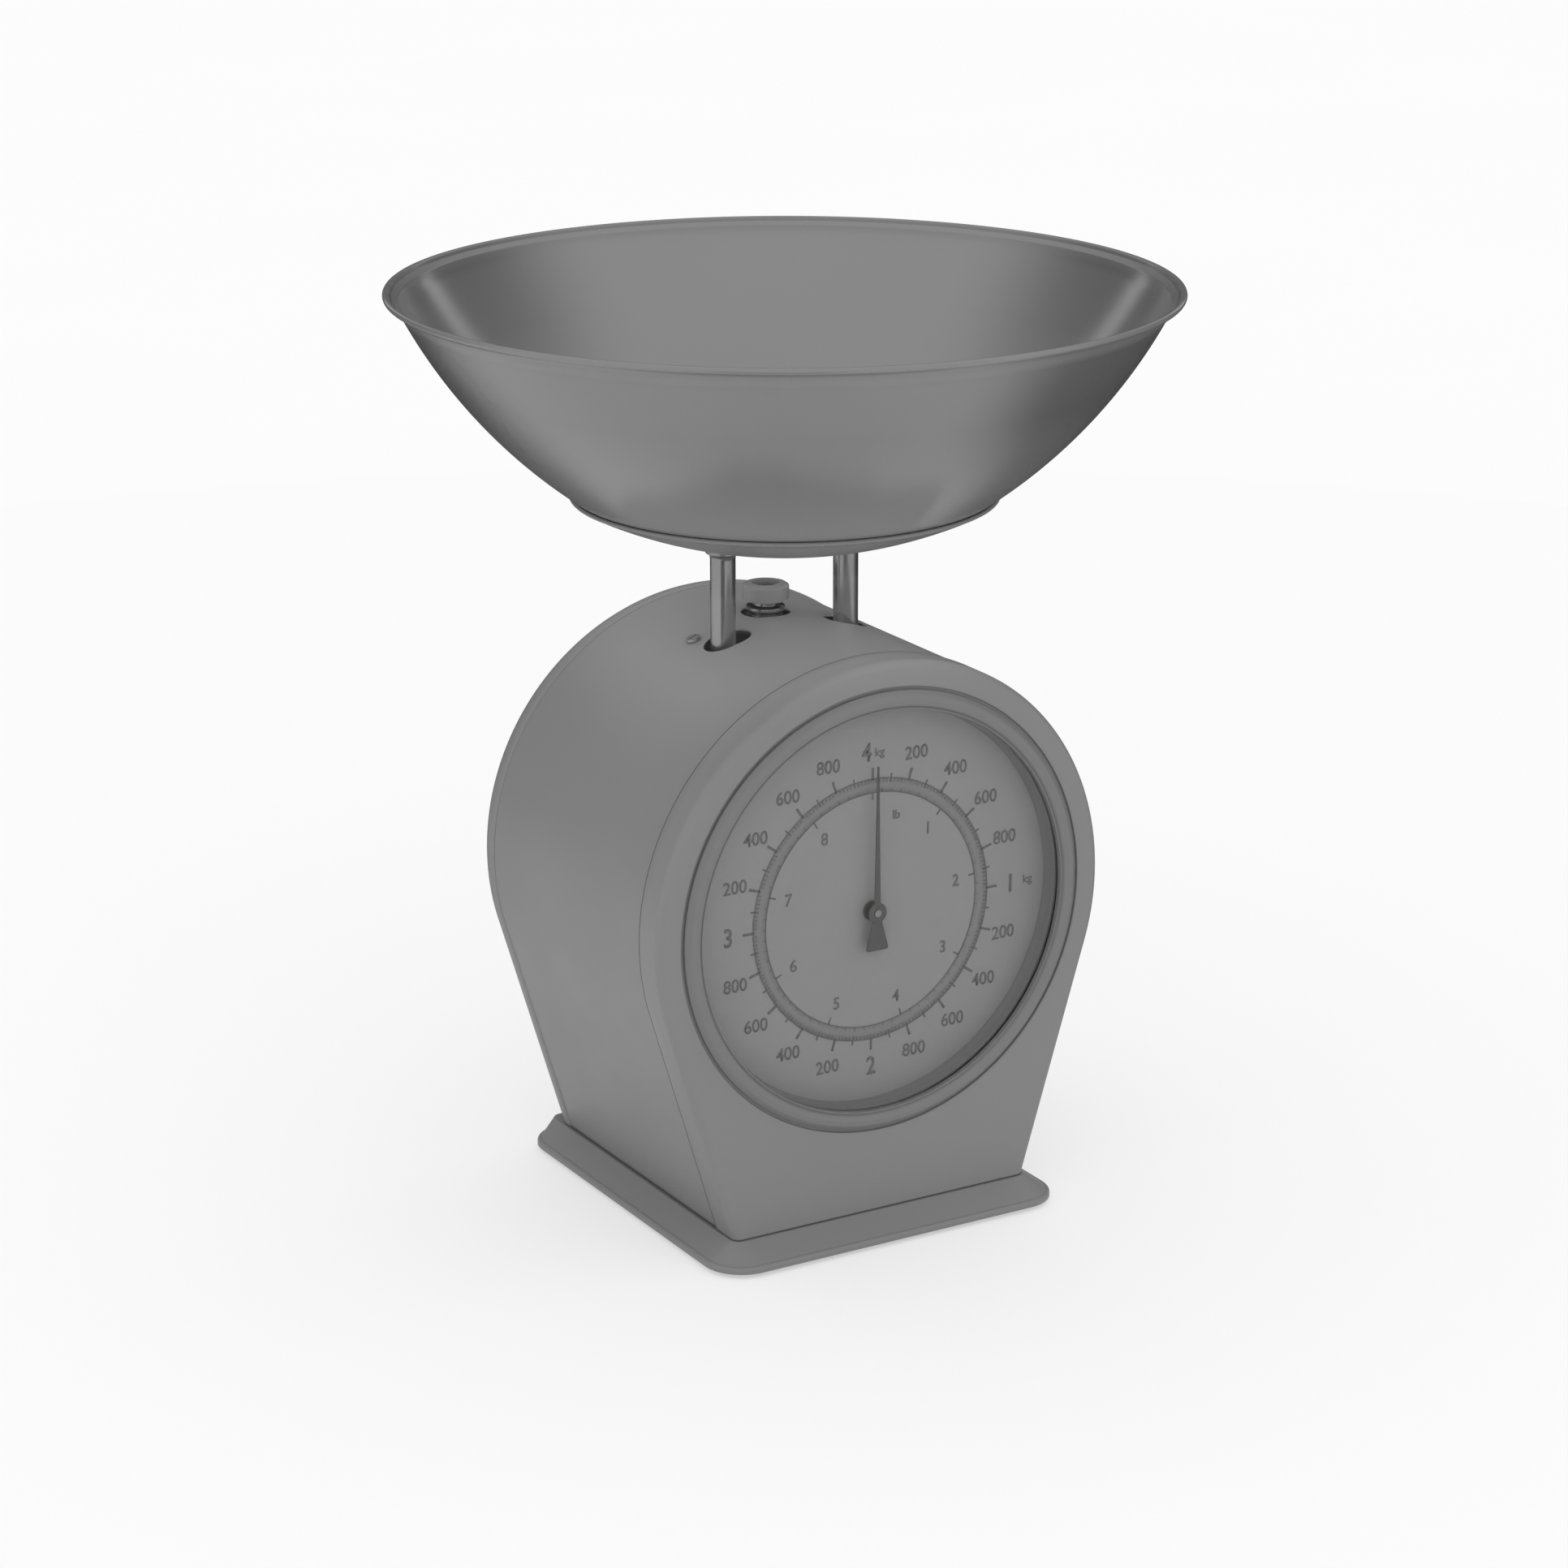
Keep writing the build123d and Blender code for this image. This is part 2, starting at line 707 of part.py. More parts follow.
def platter_washers():
    """Thick washers, dished underneath, that give the platter screws a level seat."""
    washer = rod_z(washer_radius, platter_bottom_z, washer_top_z(), post_x, 0)
    washer = washer & platter_ball(platter_sphere - platter_sheet)
    return mirrored_pair(washer - rod_z(platter_screw[2], platter_bottom_z, washer_top_z() + past, post_x, 0))


def washer_top_z():
    return dish_height(post_x, platter_sheet) + washer_rise


def load_post():
    """A post with a flared head, cut to the platter's round underside."""
    bottom_z = carriage_top_z + carriage_plate
    head_radius = post_radius + post_flare
    head_z = platter_bottom_z + post_head_rise
    flare_z = platter_bottom_z - post_flare_drop
    flare_top_z = platter_bottom_z + post_flare_rise
    flare_middle = (post_radius + post_flare / 4, flare_z + 0.6 * (flare_top_z - flare_z))
    outline = Polyline((0, bottom_z), (post_radius, bottom_z), (post_radius, flare_z))
    outline += ThreePointArc((post_radius, flare_z), flare_middle, (head_radius, flare_top_z))
    outline += Polyline((head_radius, flare_top_z), (head_radius, head_z), (0, head_z), (0, bottom_z))
    post = Pos(post_x, 0, 0) * revolve(Plane.XZ * make_face(outline), axis=Axis.Z)
    post -= platter_ball(platter_sphere)
    post -= rod_z(post_bore, head_z - platter_screw[3] - post_head_rise, head_z + past, post_x, 0)
    post -= rod_z(post_bore, bottom_z - past, bottom_z + post_screw[3], post_x, 0)
    return post


def platter_screws():
    screw = pan_screw(*platter_screw)
    return placed(screw, [(side * post_x, 0, washer_top_z()) for side in (-1, 1)])


def post_screws():
    screw = Rot(180, 0, 0) * pan_screw(*post_screw)
    return placed(screw, [(side * post_x, 0, carriage_top_z) for side in (-1, 1)])


# ---------------------------------------------------------------- rack, pinion and pointer
def tooth(root_height, tip_height, root_half, tip_half):
    """A straight-flanked tooth that points up, from its root line to its tip line."""
    root = [(-root_half, root_height), (root_half, root_height)]
    tip = [(tip_half, tip_height), (-tip_half, tip_height)]
    return make_face(Polyline(*root, *tip, close=True))


def rack():
    """A toothed bar on the right of the pinion; it goes down with the carriage."""
    pitch = pi * gear_module
    root_x = pitch_radius + rack_root * gear_module
    tip_x = pitch_radius - rack_tip * gear_module
    bottom_z = dial_z - (rack_teeth_below + 1) * pitch
    top_z = carriage_top_z + carriage_plate
    middle = ((root_x + rack_back_x) / 2, (bottom_z + top_z) / 2)
    bar = Pos(*middle) * Rectangle(rack_back_x - root_x, top_z - bottom_z)
    root_height = -root_x - rack_tooth_overlap
    one = Rot(0, 0, 90) * tooth(root_height, -tip_x, rack_root_half * pitch, rack_tip_half * pitch)
    teeth_above = int(travel / pitch) + rack_teeth_below
    for index in range(-rack_teeth_below, teeth_above + 1):
        bar += Pos(0, dial_z + index * pitch) * one
    return slab(bar, *gear_y)


def rack_arm():
    """The arm that carries the rack forward from the carriage."""
    arm_z = carriage_top_z + carriage_plate
    arm_x = (pitch_radius + rack_arm_gap, 2 * rack_back_x)
    return block(*arm_x, gear_y[0] - past, top_bar_y[1] - past, arm_z, arm_z + strap_thickness)


def pinion():
    """The pinion on the pointer shaft; a gap between two teeth faces the rack's middle tooth."""
    pitch = pi * gear_module
    root_r = pitch_radius - pinion_root * gear_module
    tip_r = pitch_radius + pinion_tip * gear_module
    root_height = root_r - pinion_tooth_overlap
    one = tooth(root_height, tip_r, pinion_root_half * pitch, pinion_tip_half * pitch)
    profile = Circle(root_r)
    step = 360 / pinion_teeth
    for index in range(pinion_teeth):
        profile += Rot(0, 0, (index + 0.5) * step - 90) * one
    wheel = slab(Pos(0, dial_z) * profile, *gear_y)
    return wheel - rod_y(shaft_radius, gear_y[0] - past, gear_y[1] + past, 0, dial_z)


def pointer_shaft():
    return rod_y(shaft_radius, *shaft_y, 0, dial_z)


def shaft_clip():
    """A clip behind the rear bush that keeps the shaft in."""
    disc = rod_y(clip_radius, *clip_y, 0, dial_z)
    return disc - rod_y(shaft_radius, clip_y[0] - past, clip_y[1] + past, 0, dial_z)


def pointer():
    """A flat tapered needle with a wide tail that balances it."""
    base, tip = needle_half_widths
    needle = Polyline((-base, 0), (base, 0), (tip, pointer_tip), (-tip, pointer_tip), close=True)
    tail_ends = [(tail_half_width, -pointer_tail), (-tail_half_width, -pointer_tail)]
    tail = Polyline((-base, 0), (base, 0), *tail_ends, close=True)
    blade = make_face(needle) + make_face(tail) + Circle(boss_radius)
    blade = slab(Pos(0, dial_z) * blade, *pointer_y)
    return blade - rod_y(shaft_radius, pointer_y[0] - past, pointer_y[1] + past, 0, dial_z)


def pointer_hub():
    """The turned hub behind the needle that grips the shaft."""
    y_from = pointer_y[1]
    hub = rod_y(hub_radius, y_from, y_from + hub_length, 0, dial_z)
    return hub - rod_y(shaft_radius, y_from - past, y_from + hub_length + past, 0, dial_z)


# ---------------------------------------------------------------- levers
def bar_between(a, b, length, width):
    """A slot-shaped face along the line from a to b, centred between them."""
    angle = degrees(atan2(b[1] - a[1], b[0] - a[0]))
    return Pos((a[0] + b[0]) / 2, (a[1] + b[1]) / 2) * Rot(0, 0, angle) * SlotCenterToCenter(length, width)


def lever(pivot_z):
    """A guide lever: a sleeve on the frame's rod and two arms whose slotted ends take the pins."""
    arm_x = strap_x + strap_thickness + arm_gap
    tilt = radians(lever_tilt)
    pin = (lever_y - lever_length * cos(tilt), pivot_z + lever_length * sin(tilt))
    pivot = (lever_y, pivot_z)
    beyond_pin = (2 * pin[0] - pivot[0], 2 * pin[1] - pivot[1])
    bore_radius = pin_radius + running_gap
    outline = bar_between(pin, pivot, lever_length, 2 * arm_half_width)
    outline -= bar_between(pivot, beyond_pin, 2 * arm_slot_slack, 2 * (pin_radius + arm_pin_gap))
    outline -= bar_between(pin, pivot, *arm_window)
    outline -= Pos(*pivot) * Circle(bore_radius)
    arm = Pos(arm_x, 0, 0) * extrude(Plane.YZ * outline, amount=arm_thickness)
    sleeve = rod_x(sleeve_radius, -arm_x, arm_x, *pivot)
    sleeve -= rod_x(bore_radius, -arm_x - past, arm_x + past, *pivot)
    return arm + mirror(arm, about=Plane.YZ) + sleeve


# ---------------------------------------------------------------- zero adjustment
def zero_knob():
    """The round cap that stands behind the posts: a bevelled top with a blind recess."""
    recess_z = knob_top_z - knob_recess_depth
    cap = turned([(screw_radius, knob_bottom_z), (knob_radius - knob_chamfer, knob_bottom_z),
                  (knob_radius, knob_bottom_z + knob_chamfer), (knob_radius, knob_edge_z - knob_chamfer / 2),
                  (knob_radius - knob_bevel, knob_edge_z), (knob_recess_radius + knob_chamfer, knob_top_z),
                  (knob_recess_radius, knob_top_z), (knob_recess_radius, recess_z), (screw_radius, recess_z)])
    return Pos(0, knob_y, 0) * cap


def zero_collar():
    """The bush under the cap: a sleeve with a wide flange low down and a narrower one above it."""
    low_z, high_z = collar_flange_z, collar_ring_z
    steps = [(screw_radius, collar_bottom_z), (collar_radius, collar_bottom_z), (collar_radius, low_z[0]),
             (collar_flange_radius, low_z[0]), (collar_flange_radius, low_z[1]), (collar_radius, low_z[1]),
             (collar_radius, high_z[0] - collar_bevel), (collar_ring_radius, high_z[0]),
             (collar_ring_radius, high_z[1]), (collar_radius, high_z[1] + collar_bevel),
             (collar_radius, knob_bottom_z), (screw_radius, knob_bottom_z)]
    return Pos(0, knob_y, 0) * turned(steps)


def zero_screw():
    """The long screw; a shoulder on the top bar takes the springs' pull."""
    rod = rod_z(screw_radius, screw_bottom_z, knob_top_z - screw_recess, 0, knob_y)
    shoulder_from, shoulder_to = shoulder_z
    return rod + rod_z(shoulder_radius, frame_top_z + shoulder_from, frame_top_z + shoulder_to, 0, knob_y)


def anchor_bar():
    """An inverted channel on the screw; the springs hang from its pins."""
    wall_bottom_z, web_z = hanger_z
    top_z = web_z + channel_floor
    y_from, y_to = channel_y
    half = hanger_half_length
    inner_y = (y_from + channel_wall, y_to - channel_wall)
    tab_y = (knob_y - hanger_tab_half_width, knob_y + hanger_tab_half_width)
    bar = block(-half, half, y_from, y_to, wall_bottom_z, top_z)
    bar -= block(-half - past, half + past, *inner_y, wall_bottom_z - past, web_z)
    bar += block(-hanger_tab_x, hanger_tab_x, *tab_y, web_z, top_z)
    bar += rod_z(nut_radius, nut_bottom_z, web_z, 0, knob_y)
    for side in (-1, 1):
        bar -= rod_y(spring_pin_radius, y_from - past, y_to + past, side * spring_x, upper_spring_pin_z())
    return bar - rod_z(screw_radius + running_gap, nut_bottom_z - past, top_z + past, 0, knob_y)


def extension_spring():
    """A coil with a half loop at each end that hooks over a pin."""
    height = spring_top_z - spring_bottom_z
    wire = Circle(spring_wire_radius)
    helix = Helix(pitch=height / spring_turns, height=height, radius=spring_coil_radius)
    start = Plane(origin=helix @ 0, z_dir=helix % 0)
    coil = sweep(start * wire, path=helix)
    loops = []
    for z, side in ((0, -1), (height, 1)):
        path = ThreePointArc((-spring_coil_radius, 0, z), (0, 0, z + side * spring_coil_radius),
                             (spring_coil_radius, 0, z))
        section = Plane(origin=path @ 0, z_dir=path % 0) * wire
        loops.append(sweep(section, path=path))
    return coil + loops[0] + loops[1]


def extension_springs():
    spring = extension_spring()
    return placed(spring, [(side * spring_x, spring_y, spring_bottom_z) for side in (-1, 1)])


# ---------------------------------------------------------------- bowl
def bowl_wall_radius(z, thickness):
    """Radius of the bowl's wall at height z, thickness in from its outer face."""
    radius = bowl_arc_radius - thickness
    return bowl_arc_centre[0] + sqrt(radius ** 2 - (z - bowl_arc_centre[1]) ** 2)


def bowl_corner(thickness):
    """The round corner between the floor and the wall, as floor end, middle and wall end points."""
    foot_r = bowl_wall_radius(bowl_foot_z, 0)
    slope = asin((foot_r - bowl_arc_centre[0]) / bowl_arc_radius)
    centre_r = foot_r - bowl_corner_radius * sin(slope)
    centre_z = bowl_foot_z + bowl_corner_radius * cos(slope)
    radius = bowl_corner_radius - thickness
    angles = (0, slope / 2, slope)
    return [(centre_r + radius * sin(angle), centre_z - radius * cos(angle)) for angle in angles]


def bowl():
    """A pressed bowl: flat floor, round corner, curved wall and a flared lip with a beaded edge."""
    t = bowl_sheet
    middle_z = (bowl_foot_z + bowl_wall_top_z) / 2
    top_r = bowl_wall_radius(bowl_wall_top_z, 0)
    lip_start = (top_r + bowl_lip_bend[0], bowl_wall_top_z + bowl_lip_bend[1])
    lip_end = (bowl_lip_radius - t, bowl_lip_z - bowl_bead)
    floor_end, corner, foot = bowl_corner(0)
    outer = Line((0, floor_end[1]), floor_end)
    outer += ThreePointArc(floor_end, corner, foot)
    outer += ThreePointArc(foot, (bowl_wall_radius(middle_z, 0), middle_z), (top_r, bowl_wall_top_z))
    outer += Polyline((top_r, bowl_wall_top_z), lip_start, lip_end)
    inner_top = (bowl_wall_radius(bowl_wall_top_z, t), bowl_wall_top_z)
    inner_lip = (lip_start[0] - t * cos(bowl_lip_tilt), lip_start[1] + t * sin(bowl_lip_tilt))
    lip_top = (lip_end[0], lip_end[1] + t)
    inner_floor, inner_corner, inner_foot = bowl_corner(t)
    inner = Polyline(lip_end, lip_top, inner_lip, inner_top)
    inner += ThreePointArc(inner_top, (bowl_wall_radius(middle_z, t), middle_z), inner_foot)
    inner += ThreePointArc(inner_foot, inner_corner, inner_floor)
    inner += Polyline(inner_floor, (0, inner_floor[1]), (0, floor_end[1]))
    shell = revolve(Plane.XZ * make_face(outer + inner), axis=Axis.Z)
    bead = Pos(bowl_lip_radius - bowl_bead, bowl_lip_z - bowl_bead) * Circle(bowl_bead)
    return shell + revolve(Plane.XZ * bead, axis=Axis.Z)


# ---------------------------------------------------------------- all nodes
def nodes():
    """Every piece of the scale by the name of its node."""
    return {
        "base_plate": drill_frame_holes(base_plate()),
        "rubber_feet": rubber_feet(),
        "foot_screws": foot_screws(),
        "wrap_shell": wrap_shell(),
        "front_cover": front_cover(),
        "rear_cover": rear_cover(),
        "rear_cover_screws": rear_cover_screws(),
        "rear_cover_brackets": rear_cover_brackets(),
        "top_stiffener": top_stiffener(),
        "top_screws": top_screws(),
        "bezel_ring": bezel_ring(),
        "bezel_clamp_ring": bezel_clamp_ring(),
        "lens": lens(),
        "lens_spacer": lens_spacer(),
        "dial_card": dial_card(),
        "dial_plate": dial_plate(),
        "dial_pillars": dial_pillars(),
        "bearing_plate": drill_frame_holes(bearing_plate()),
        "front_shaft_bush": shaft_bush(*front_plate_y),
        "shaft_bridge": shaft_bridge(),
        "rear_shaft_bush": shaft_bush(*rear_bush_y),
        "main_frame": drill_frame_holes(main_frame()),
        "frame_screws": frame_screws(),
        "upper_lever_rod": lever_rod(upper_lever_z),
        "lower_lever_rod": lever_rod(lower_lever_z),
        "overload_stop": overload_stop(),
        "extension_springs": extension_springs(),
        "carriage_frame": carriage_frame(),
        "carriage_pins": carriage_pins(),
        "lower_spring_pins": spring_pins(lower_spring_pin_z()),
        "load_posts": mirrored_pair(load_post()),
        "post_screws": post_screws(),
        "platter": platter(),
        "platter_washers": platter_washers(),
        "platter_screws": platter_screws(),
        "rack_arm": rack_arm(),
        "rack": rack(),
        "pinion": pinion(),
        "pointer_shaft": pointer_shaft(),
        "shaft_clip": shaft_clip(),
        "pointer": pointer(),
        "pointer_hub": pointer_hub(),
        "upper_lever": lever(upper_lever_z),
        "lower_lever": lever(lower_lever_z),
        "zero_knob": zero_knob(),
        "zero_collar": zero_collar(),
        "zero_screw": zero_screw(),
        "anchor_bar": anchor_bar(),
        "upper_spring_pins": spring_pins(upper_spring_pin_z()),
        "bowl": bowl(),
    }


os.makedirs("parts", exist_ok=True)
for name, shape in nodes().items():
    export_step(shape, f"parts/{name}.step")
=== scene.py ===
from math import acos, asin, atan2, cos, hypot, pi, radians, sin, sqrt

import bmesh
import bpy
from mathutils import Matrix, Vector


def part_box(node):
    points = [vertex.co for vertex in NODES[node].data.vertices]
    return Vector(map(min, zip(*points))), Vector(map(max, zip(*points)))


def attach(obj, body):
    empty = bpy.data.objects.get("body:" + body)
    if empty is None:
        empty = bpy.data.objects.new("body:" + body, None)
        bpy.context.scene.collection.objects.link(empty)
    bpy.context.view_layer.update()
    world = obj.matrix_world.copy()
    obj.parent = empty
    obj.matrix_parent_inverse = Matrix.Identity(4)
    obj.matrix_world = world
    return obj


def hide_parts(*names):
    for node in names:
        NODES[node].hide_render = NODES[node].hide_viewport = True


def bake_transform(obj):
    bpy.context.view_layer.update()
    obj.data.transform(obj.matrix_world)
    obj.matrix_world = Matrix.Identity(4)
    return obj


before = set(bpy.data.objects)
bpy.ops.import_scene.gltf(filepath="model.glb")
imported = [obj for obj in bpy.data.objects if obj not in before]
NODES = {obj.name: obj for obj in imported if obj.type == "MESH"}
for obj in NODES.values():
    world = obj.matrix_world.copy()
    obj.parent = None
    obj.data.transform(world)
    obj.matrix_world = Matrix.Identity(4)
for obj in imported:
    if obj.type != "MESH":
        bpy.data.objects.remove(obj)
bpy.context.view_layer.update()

# ---------------------------------------------------------------- places taken from the CAD nodes
CARD_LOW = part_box("dial_card")[0]
SHAFT_LOW, SHAFT_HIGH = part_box("pointer_shaft")
POINTER_LOW, POINTER_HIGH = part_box("pointer")
BEZEL_LOW, BEZEL_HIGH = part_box("bezel_ring")
LENS_LOW, LENS_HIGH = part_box("lens")
POST_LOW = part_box("load_posts")[0]
KNOB_LOW, KNOB_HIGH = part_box("zero_knob")
COLLAR_LOW, COLLAR_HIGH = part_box("zero_collar")
SPRING_LOW, SPRING_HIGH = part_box("extension_springs")
DIAL_FACE_Y = CARD_LOW.y
DIAL_CENTRE_Z = (SHAFT_LOW.z + SHAFT_HIGH.z) / 2
SHAFT_RADIUS = (SHAFT_HIGH.x - SHAFT_LOW.x) / 2
ARCH_Z = (BEZEL_LOW.z + BEZEL_HIGH.z) / 2
BEZEL_RADIUS = (BEZEL_HIGH.x - BEZEL_LOW.x) / 2
LENS_RADIUS = (LENS_HIGH.x - LENS_LOW.x) / 2
KNOB_RADIUS = (KNOB_HIGH.x - KNOB_LOW.x) / 2
KNOB_Y = (KNOB_LOW.y + KNOB_HIGH.y) / 2

# ---------------------------------------------------------------- body, bowl and platter forms, in metres
ARCH_RADIUS = 0.080
FOOT_HALF_WIDTH = 0.05355
FOOT_Z = 0.0085
HALF_DEPTH = 0.0606
COVER_DEPTH = 0.012
FRONT_FILLET = 0.0026
REAR_FILLET = 0.0099
SHEET = 0.0005
FRONT_TAPER = 0.0004
REAR_TAPER = 0.0020
LIP_INSET = 0.00042
WALL_CENTRE = (-0.02685, 0.3635)
WALL_RADIUS = 0.1638
WALL_TOP_Z = 0.288
BOWL_FOOT_Z = 0.2286
BOWL_CORNER = 0.012
BOWL_SHEET = 0.0009
BOWL_BEAD = 0.001
BOWL_LIP = (0.1224, 0.2923)
DISH_RADIUS = 0.149
DISH_BOTTOM_Z = 0.2116
DISH_SHEET = 0.001
DISH_RIM = 0.0665
DISH_BEAD = 0.00065
DISH_BEAD_SHIFT = 0.00025
DISH_BEAD_RISE = 0.0003
POST_X = 0.0224
POST_RADIUS = 0.004
POST_FLARE = 0.0014
POST_FLARE_DROP = 0.0022

# ---------------------------------------------------------------- camera, floor and light
CAMERA_AT = (-0.6551, -1.1068, 0.5404)
CAMERA_YAW = 30.61
CAMERA_PITCH = -17.6
CAMERA_LENS = 97.12
SENSOR_WIDTH = 36.0
VIEW_DEPTH = 60.0
FLOOR_HALF = 9.0
FLOOR_LIFT = 0.5
WORLD_STRENGTH = 1.0
KEY_AT = (-0.9, -2.2, 1.9)
KEY_AIM = (0, 0, 0.15)
KEY_SIZE = 2.4
KEY_WATTS = 7
# height, width, watts and turn about X of each weak lamp on the object's upright axis
FILL_LAMPS = {"under_bowl_fill": (0.1985, 0.15, 0.038, 0), "housing_fill": (0.150, 0.06, 0.09, pi)}


def add_camera():
    data = bpy.data.cameras.new("camera")
    data.lens = CAMERA_LENS
    data.sensor_width = SENSOR_WIDTH
    data.clip_end = VIEW_DEPTH
    camera = bpy.data.objects.new("camera", data)
    camera.location = CAMERA_AT
    camera.rotation_euler = (radians(90 + CAMERA_PITCH), 0, radians(-CAMERA_YAW))
    bpy.context.scene.collection.objects.link(camera)
    bpy.context.scene.camera = camera


def add_world():
    world = bpy.data.worlds.new("studio")
    world.use_nodes = True
    background = world.node_tree.nodes["Background"]
    background.inputs["Color"].default_value = (1, 1, 1, 1)
    background.inputs["Strength"].default_value = WORLD_STRENGTH
    bpy.context.scene.world = world


def add_key():
    """The large soft lamp above and behind the camera."""
    data = bpy.data.lights.new("key", "AREA")
    data.shape = "RECTANGLE"
    data.size = KEY_SIZE
    data.size_y = KEY_SIZE
    data.energy = KEY_WATTS
    lamp = bpy.data.objects.new("key", data)
    lamp.location = KEY_AT
    lamp.rotation_euler = (Vector(KEY_AIM) - Vector(KEY_AT)).to_track_quat("-Z", "Y").to_euler()
    lamp.visible_glossy = False
    bpy.context.scene.collection.objects.link(lamp)


def add_fill(name, z, size, watts, turn):
    """A weak round lamp in a place the other light does not reach."""
    data = bpy.data.lights.new(name, "AREA")
    data.shape = "DISK"
    data.size = size
    data.energy = watts
    lamp = bpy.data.objects.new(name, data)
    lamp.location = (0, 0, z)
    lamp.rotation_euler = (turn, 0, 0)
    lamp.visible_camera = False
    lamp.visible_glossy = False
    bpy.context.scene.collection.objects.link(lamp)


def add_floor():
    h = FLOOR_HALF
    mesh = bpy.data.meshes.new("floor")
    mesh.from_pydata([(-h, -h, 0), (h, -h, 0), (h, h, 0), (-h, h, 0)], [], [(0, 1, 2, 3)])
    floor = bpy.data.objects.new("floor", mesh)
    bpy.context.scene.collection.objects.link(floor)
    mesh.materials.append(floor_paint())


def floor_paint():
    """A pale matt floor, lifted part of the way to white where the camera sees it directly."""
    p = Paint("floor_paint", Roughness=0.9)
    p.into("Base Color", p.ramp(p.noise(scale=3.0), grey(0.94), grey(0.96)))
    path = p.node("ShaderNodeLightPath")
    share = math_node(p.tree, "MULTIPLY", path.outputs["Is Camera Ray"], FLOOR_LIFT)
    white = p.node("ShaderNodeEmission", Color=(1, 1, 1, 1))
    mix = p.node("ShaderNodeMixShader")
    p.link(share, mix.inputs[0])
    p.link(p.shader.outputs[0], mix.inputs[1])
    p.link(white.outputs[0], mix.inputs[2])
    p.link(mix.outputs[0], p.tree.nodes["Material Output"].inputs["Surface"])
    return p.material


# ---------------------------------------------------------------- surfaces that only mirrors see
# Each turn is in degrees, clockwise from the way the camera looks. Each of the FADES holds the limits
# between which a tone sets in: sideways, as the cosine of the angle from straight behind the object,
# and outwards, in metres; and the limits between which it ends upwards, in metres.
SURROUND_RADIUS = 1.0
SURROUND_TOP = 1.9
RING_SEGMENTS = 96
NEAR_BLACK = 0.02
SCREEN_TURN = 0
SCREEN_FOOT = 0.0015
SCREEN_FADES = ((-0.35, 0.5), (0.0, 0.1), (0.45, SURROUND_TOP))
MAT_TURN = 20
MAT_INNER = 0.10
MAT_HEIGHT = 0.001
MAT_FADES = ((-0.15, 0.65), (0.10, 0.32), (1.0, 2.0))
STRIP_TURN = 182
STRIP_INNER = 0.25
STRIP_HEIGHT = 0.003
STRIP_FADES = ((0.93, 0.98), (0.3, 0.4), (1.0, 2.0))
STREAK_TURN = 33
STREAK_WIDTH = 8
STREAK_RADIUS = SURROUND_RADIUS - 0.02
STREAK_HEIGHTS = (0.36, 1.1)
STREAK_TONE = 1.0
STREAK_FADES = ((-3, -2), (0.0, 0.1), (0.8, 1.1))


def grey(value):
    return (value, value, value)


def math_node(tree, operation, *inputs):
    node = tree.nodes.new("ShaderNodeMath")
    node.operation = operation
    for socket, value in zip(node.inputs, inputs):
        if isinstance(value, (int, float)):
            socket.default_value = value
        else:
            tree.links.new(value, socket)
    return node.outputs[0]


def ease(tree, value, start, end):
    """0 before start, 1 after end, smooth between."""
    node = tree.nodes.new("ShaderNodeMapRange")
    node.interpolation_type = "SMOOTHSTEP"
    node.inputs["From Min"].default_value = start
    node.inputs["From Max"].default_value = end
    tree.links.new(value, node.inputs["Value"])
    return node.outputs["Result"]


def surround_paint(name, tone, fades):
    """An even tone behind the object, fading out forwards, inwards and upwards between the given limits."""
    sideways, outward, upward = fades
    material = bpy.data.materials.new(name)
    material.use_nodes = True
    tree = material.node_tree
    tree.nodes.clear()
    place = tree.nodes.new("ShaderNodeTexCoord")
    split = tree.nodes.new("ShaderNodeSeparateXYZ")
    tree.links.new(place.outputs["Object"], split.inputs[0])
    x, y, z = split.outputs
    squares = [math_node(tree, "MULTIPLY", part, part) for part in (x, y)]
    reach = math_node(tree, "SQRT", math_node(tree, "ADD", *squares))
    behind = ease(tree, math_node(tree, "DIVIDE", y, reach), *sideways)
    outside = math_node(tree, "MULTIPLY", behind, ease(tree, reach, *outward))
    low = math_node(tree, "SUBTRACT", 1.0, ease(tree, z, *upward))
    share = math_node(tree, "MULTIPLY", outside, low)
    clear = tree.nodes.new("ShaderNodeBsdfTransparent")
    glow = tree.nodes.new("ShaderNodeEmission")
    glow.inputs["Color"].default_value = (*grey(tone), 1)
    mix = tree.nodes.new("ShaderNodeMixShader")
    tree.links.new(share, mix.inputs[0])
    tree.links.new(clear.outputs[0], mix.inputs[1])
    tree.links.new(glow.outputs[0], mix.inputs[2])
    out = tree.nodes.new("ShaderNodeOutputMaterial")
    tree.links.new(mix.outputs[0], out.inputs[0])
    return material


def ring_sheet(start, end):
    return lathe([start, end], (0, 0, 0), turned_z, RING_SEGMENTS)


def streak_sheets():
    """Two narrow upright strips behind the object, one to each side."""
    bm = bmesh.new()
    r = STREAK_RADIUS
    for side in (-1, 1):
        turns = [radians(side * STREAK_TURN + STREAK_WIDTH * share) for share in (-0.5, 0, 0.5)]
        columns = [[bm.verts.new((r * sin(t), r * cos(t), z)) for z in STREAK_HEIGHTS] for t in turns]
        for left, right in zip(columns, columns[1:]):
            bm.faces.new((left[0], right[0], right[1], left[1]))
    return bm


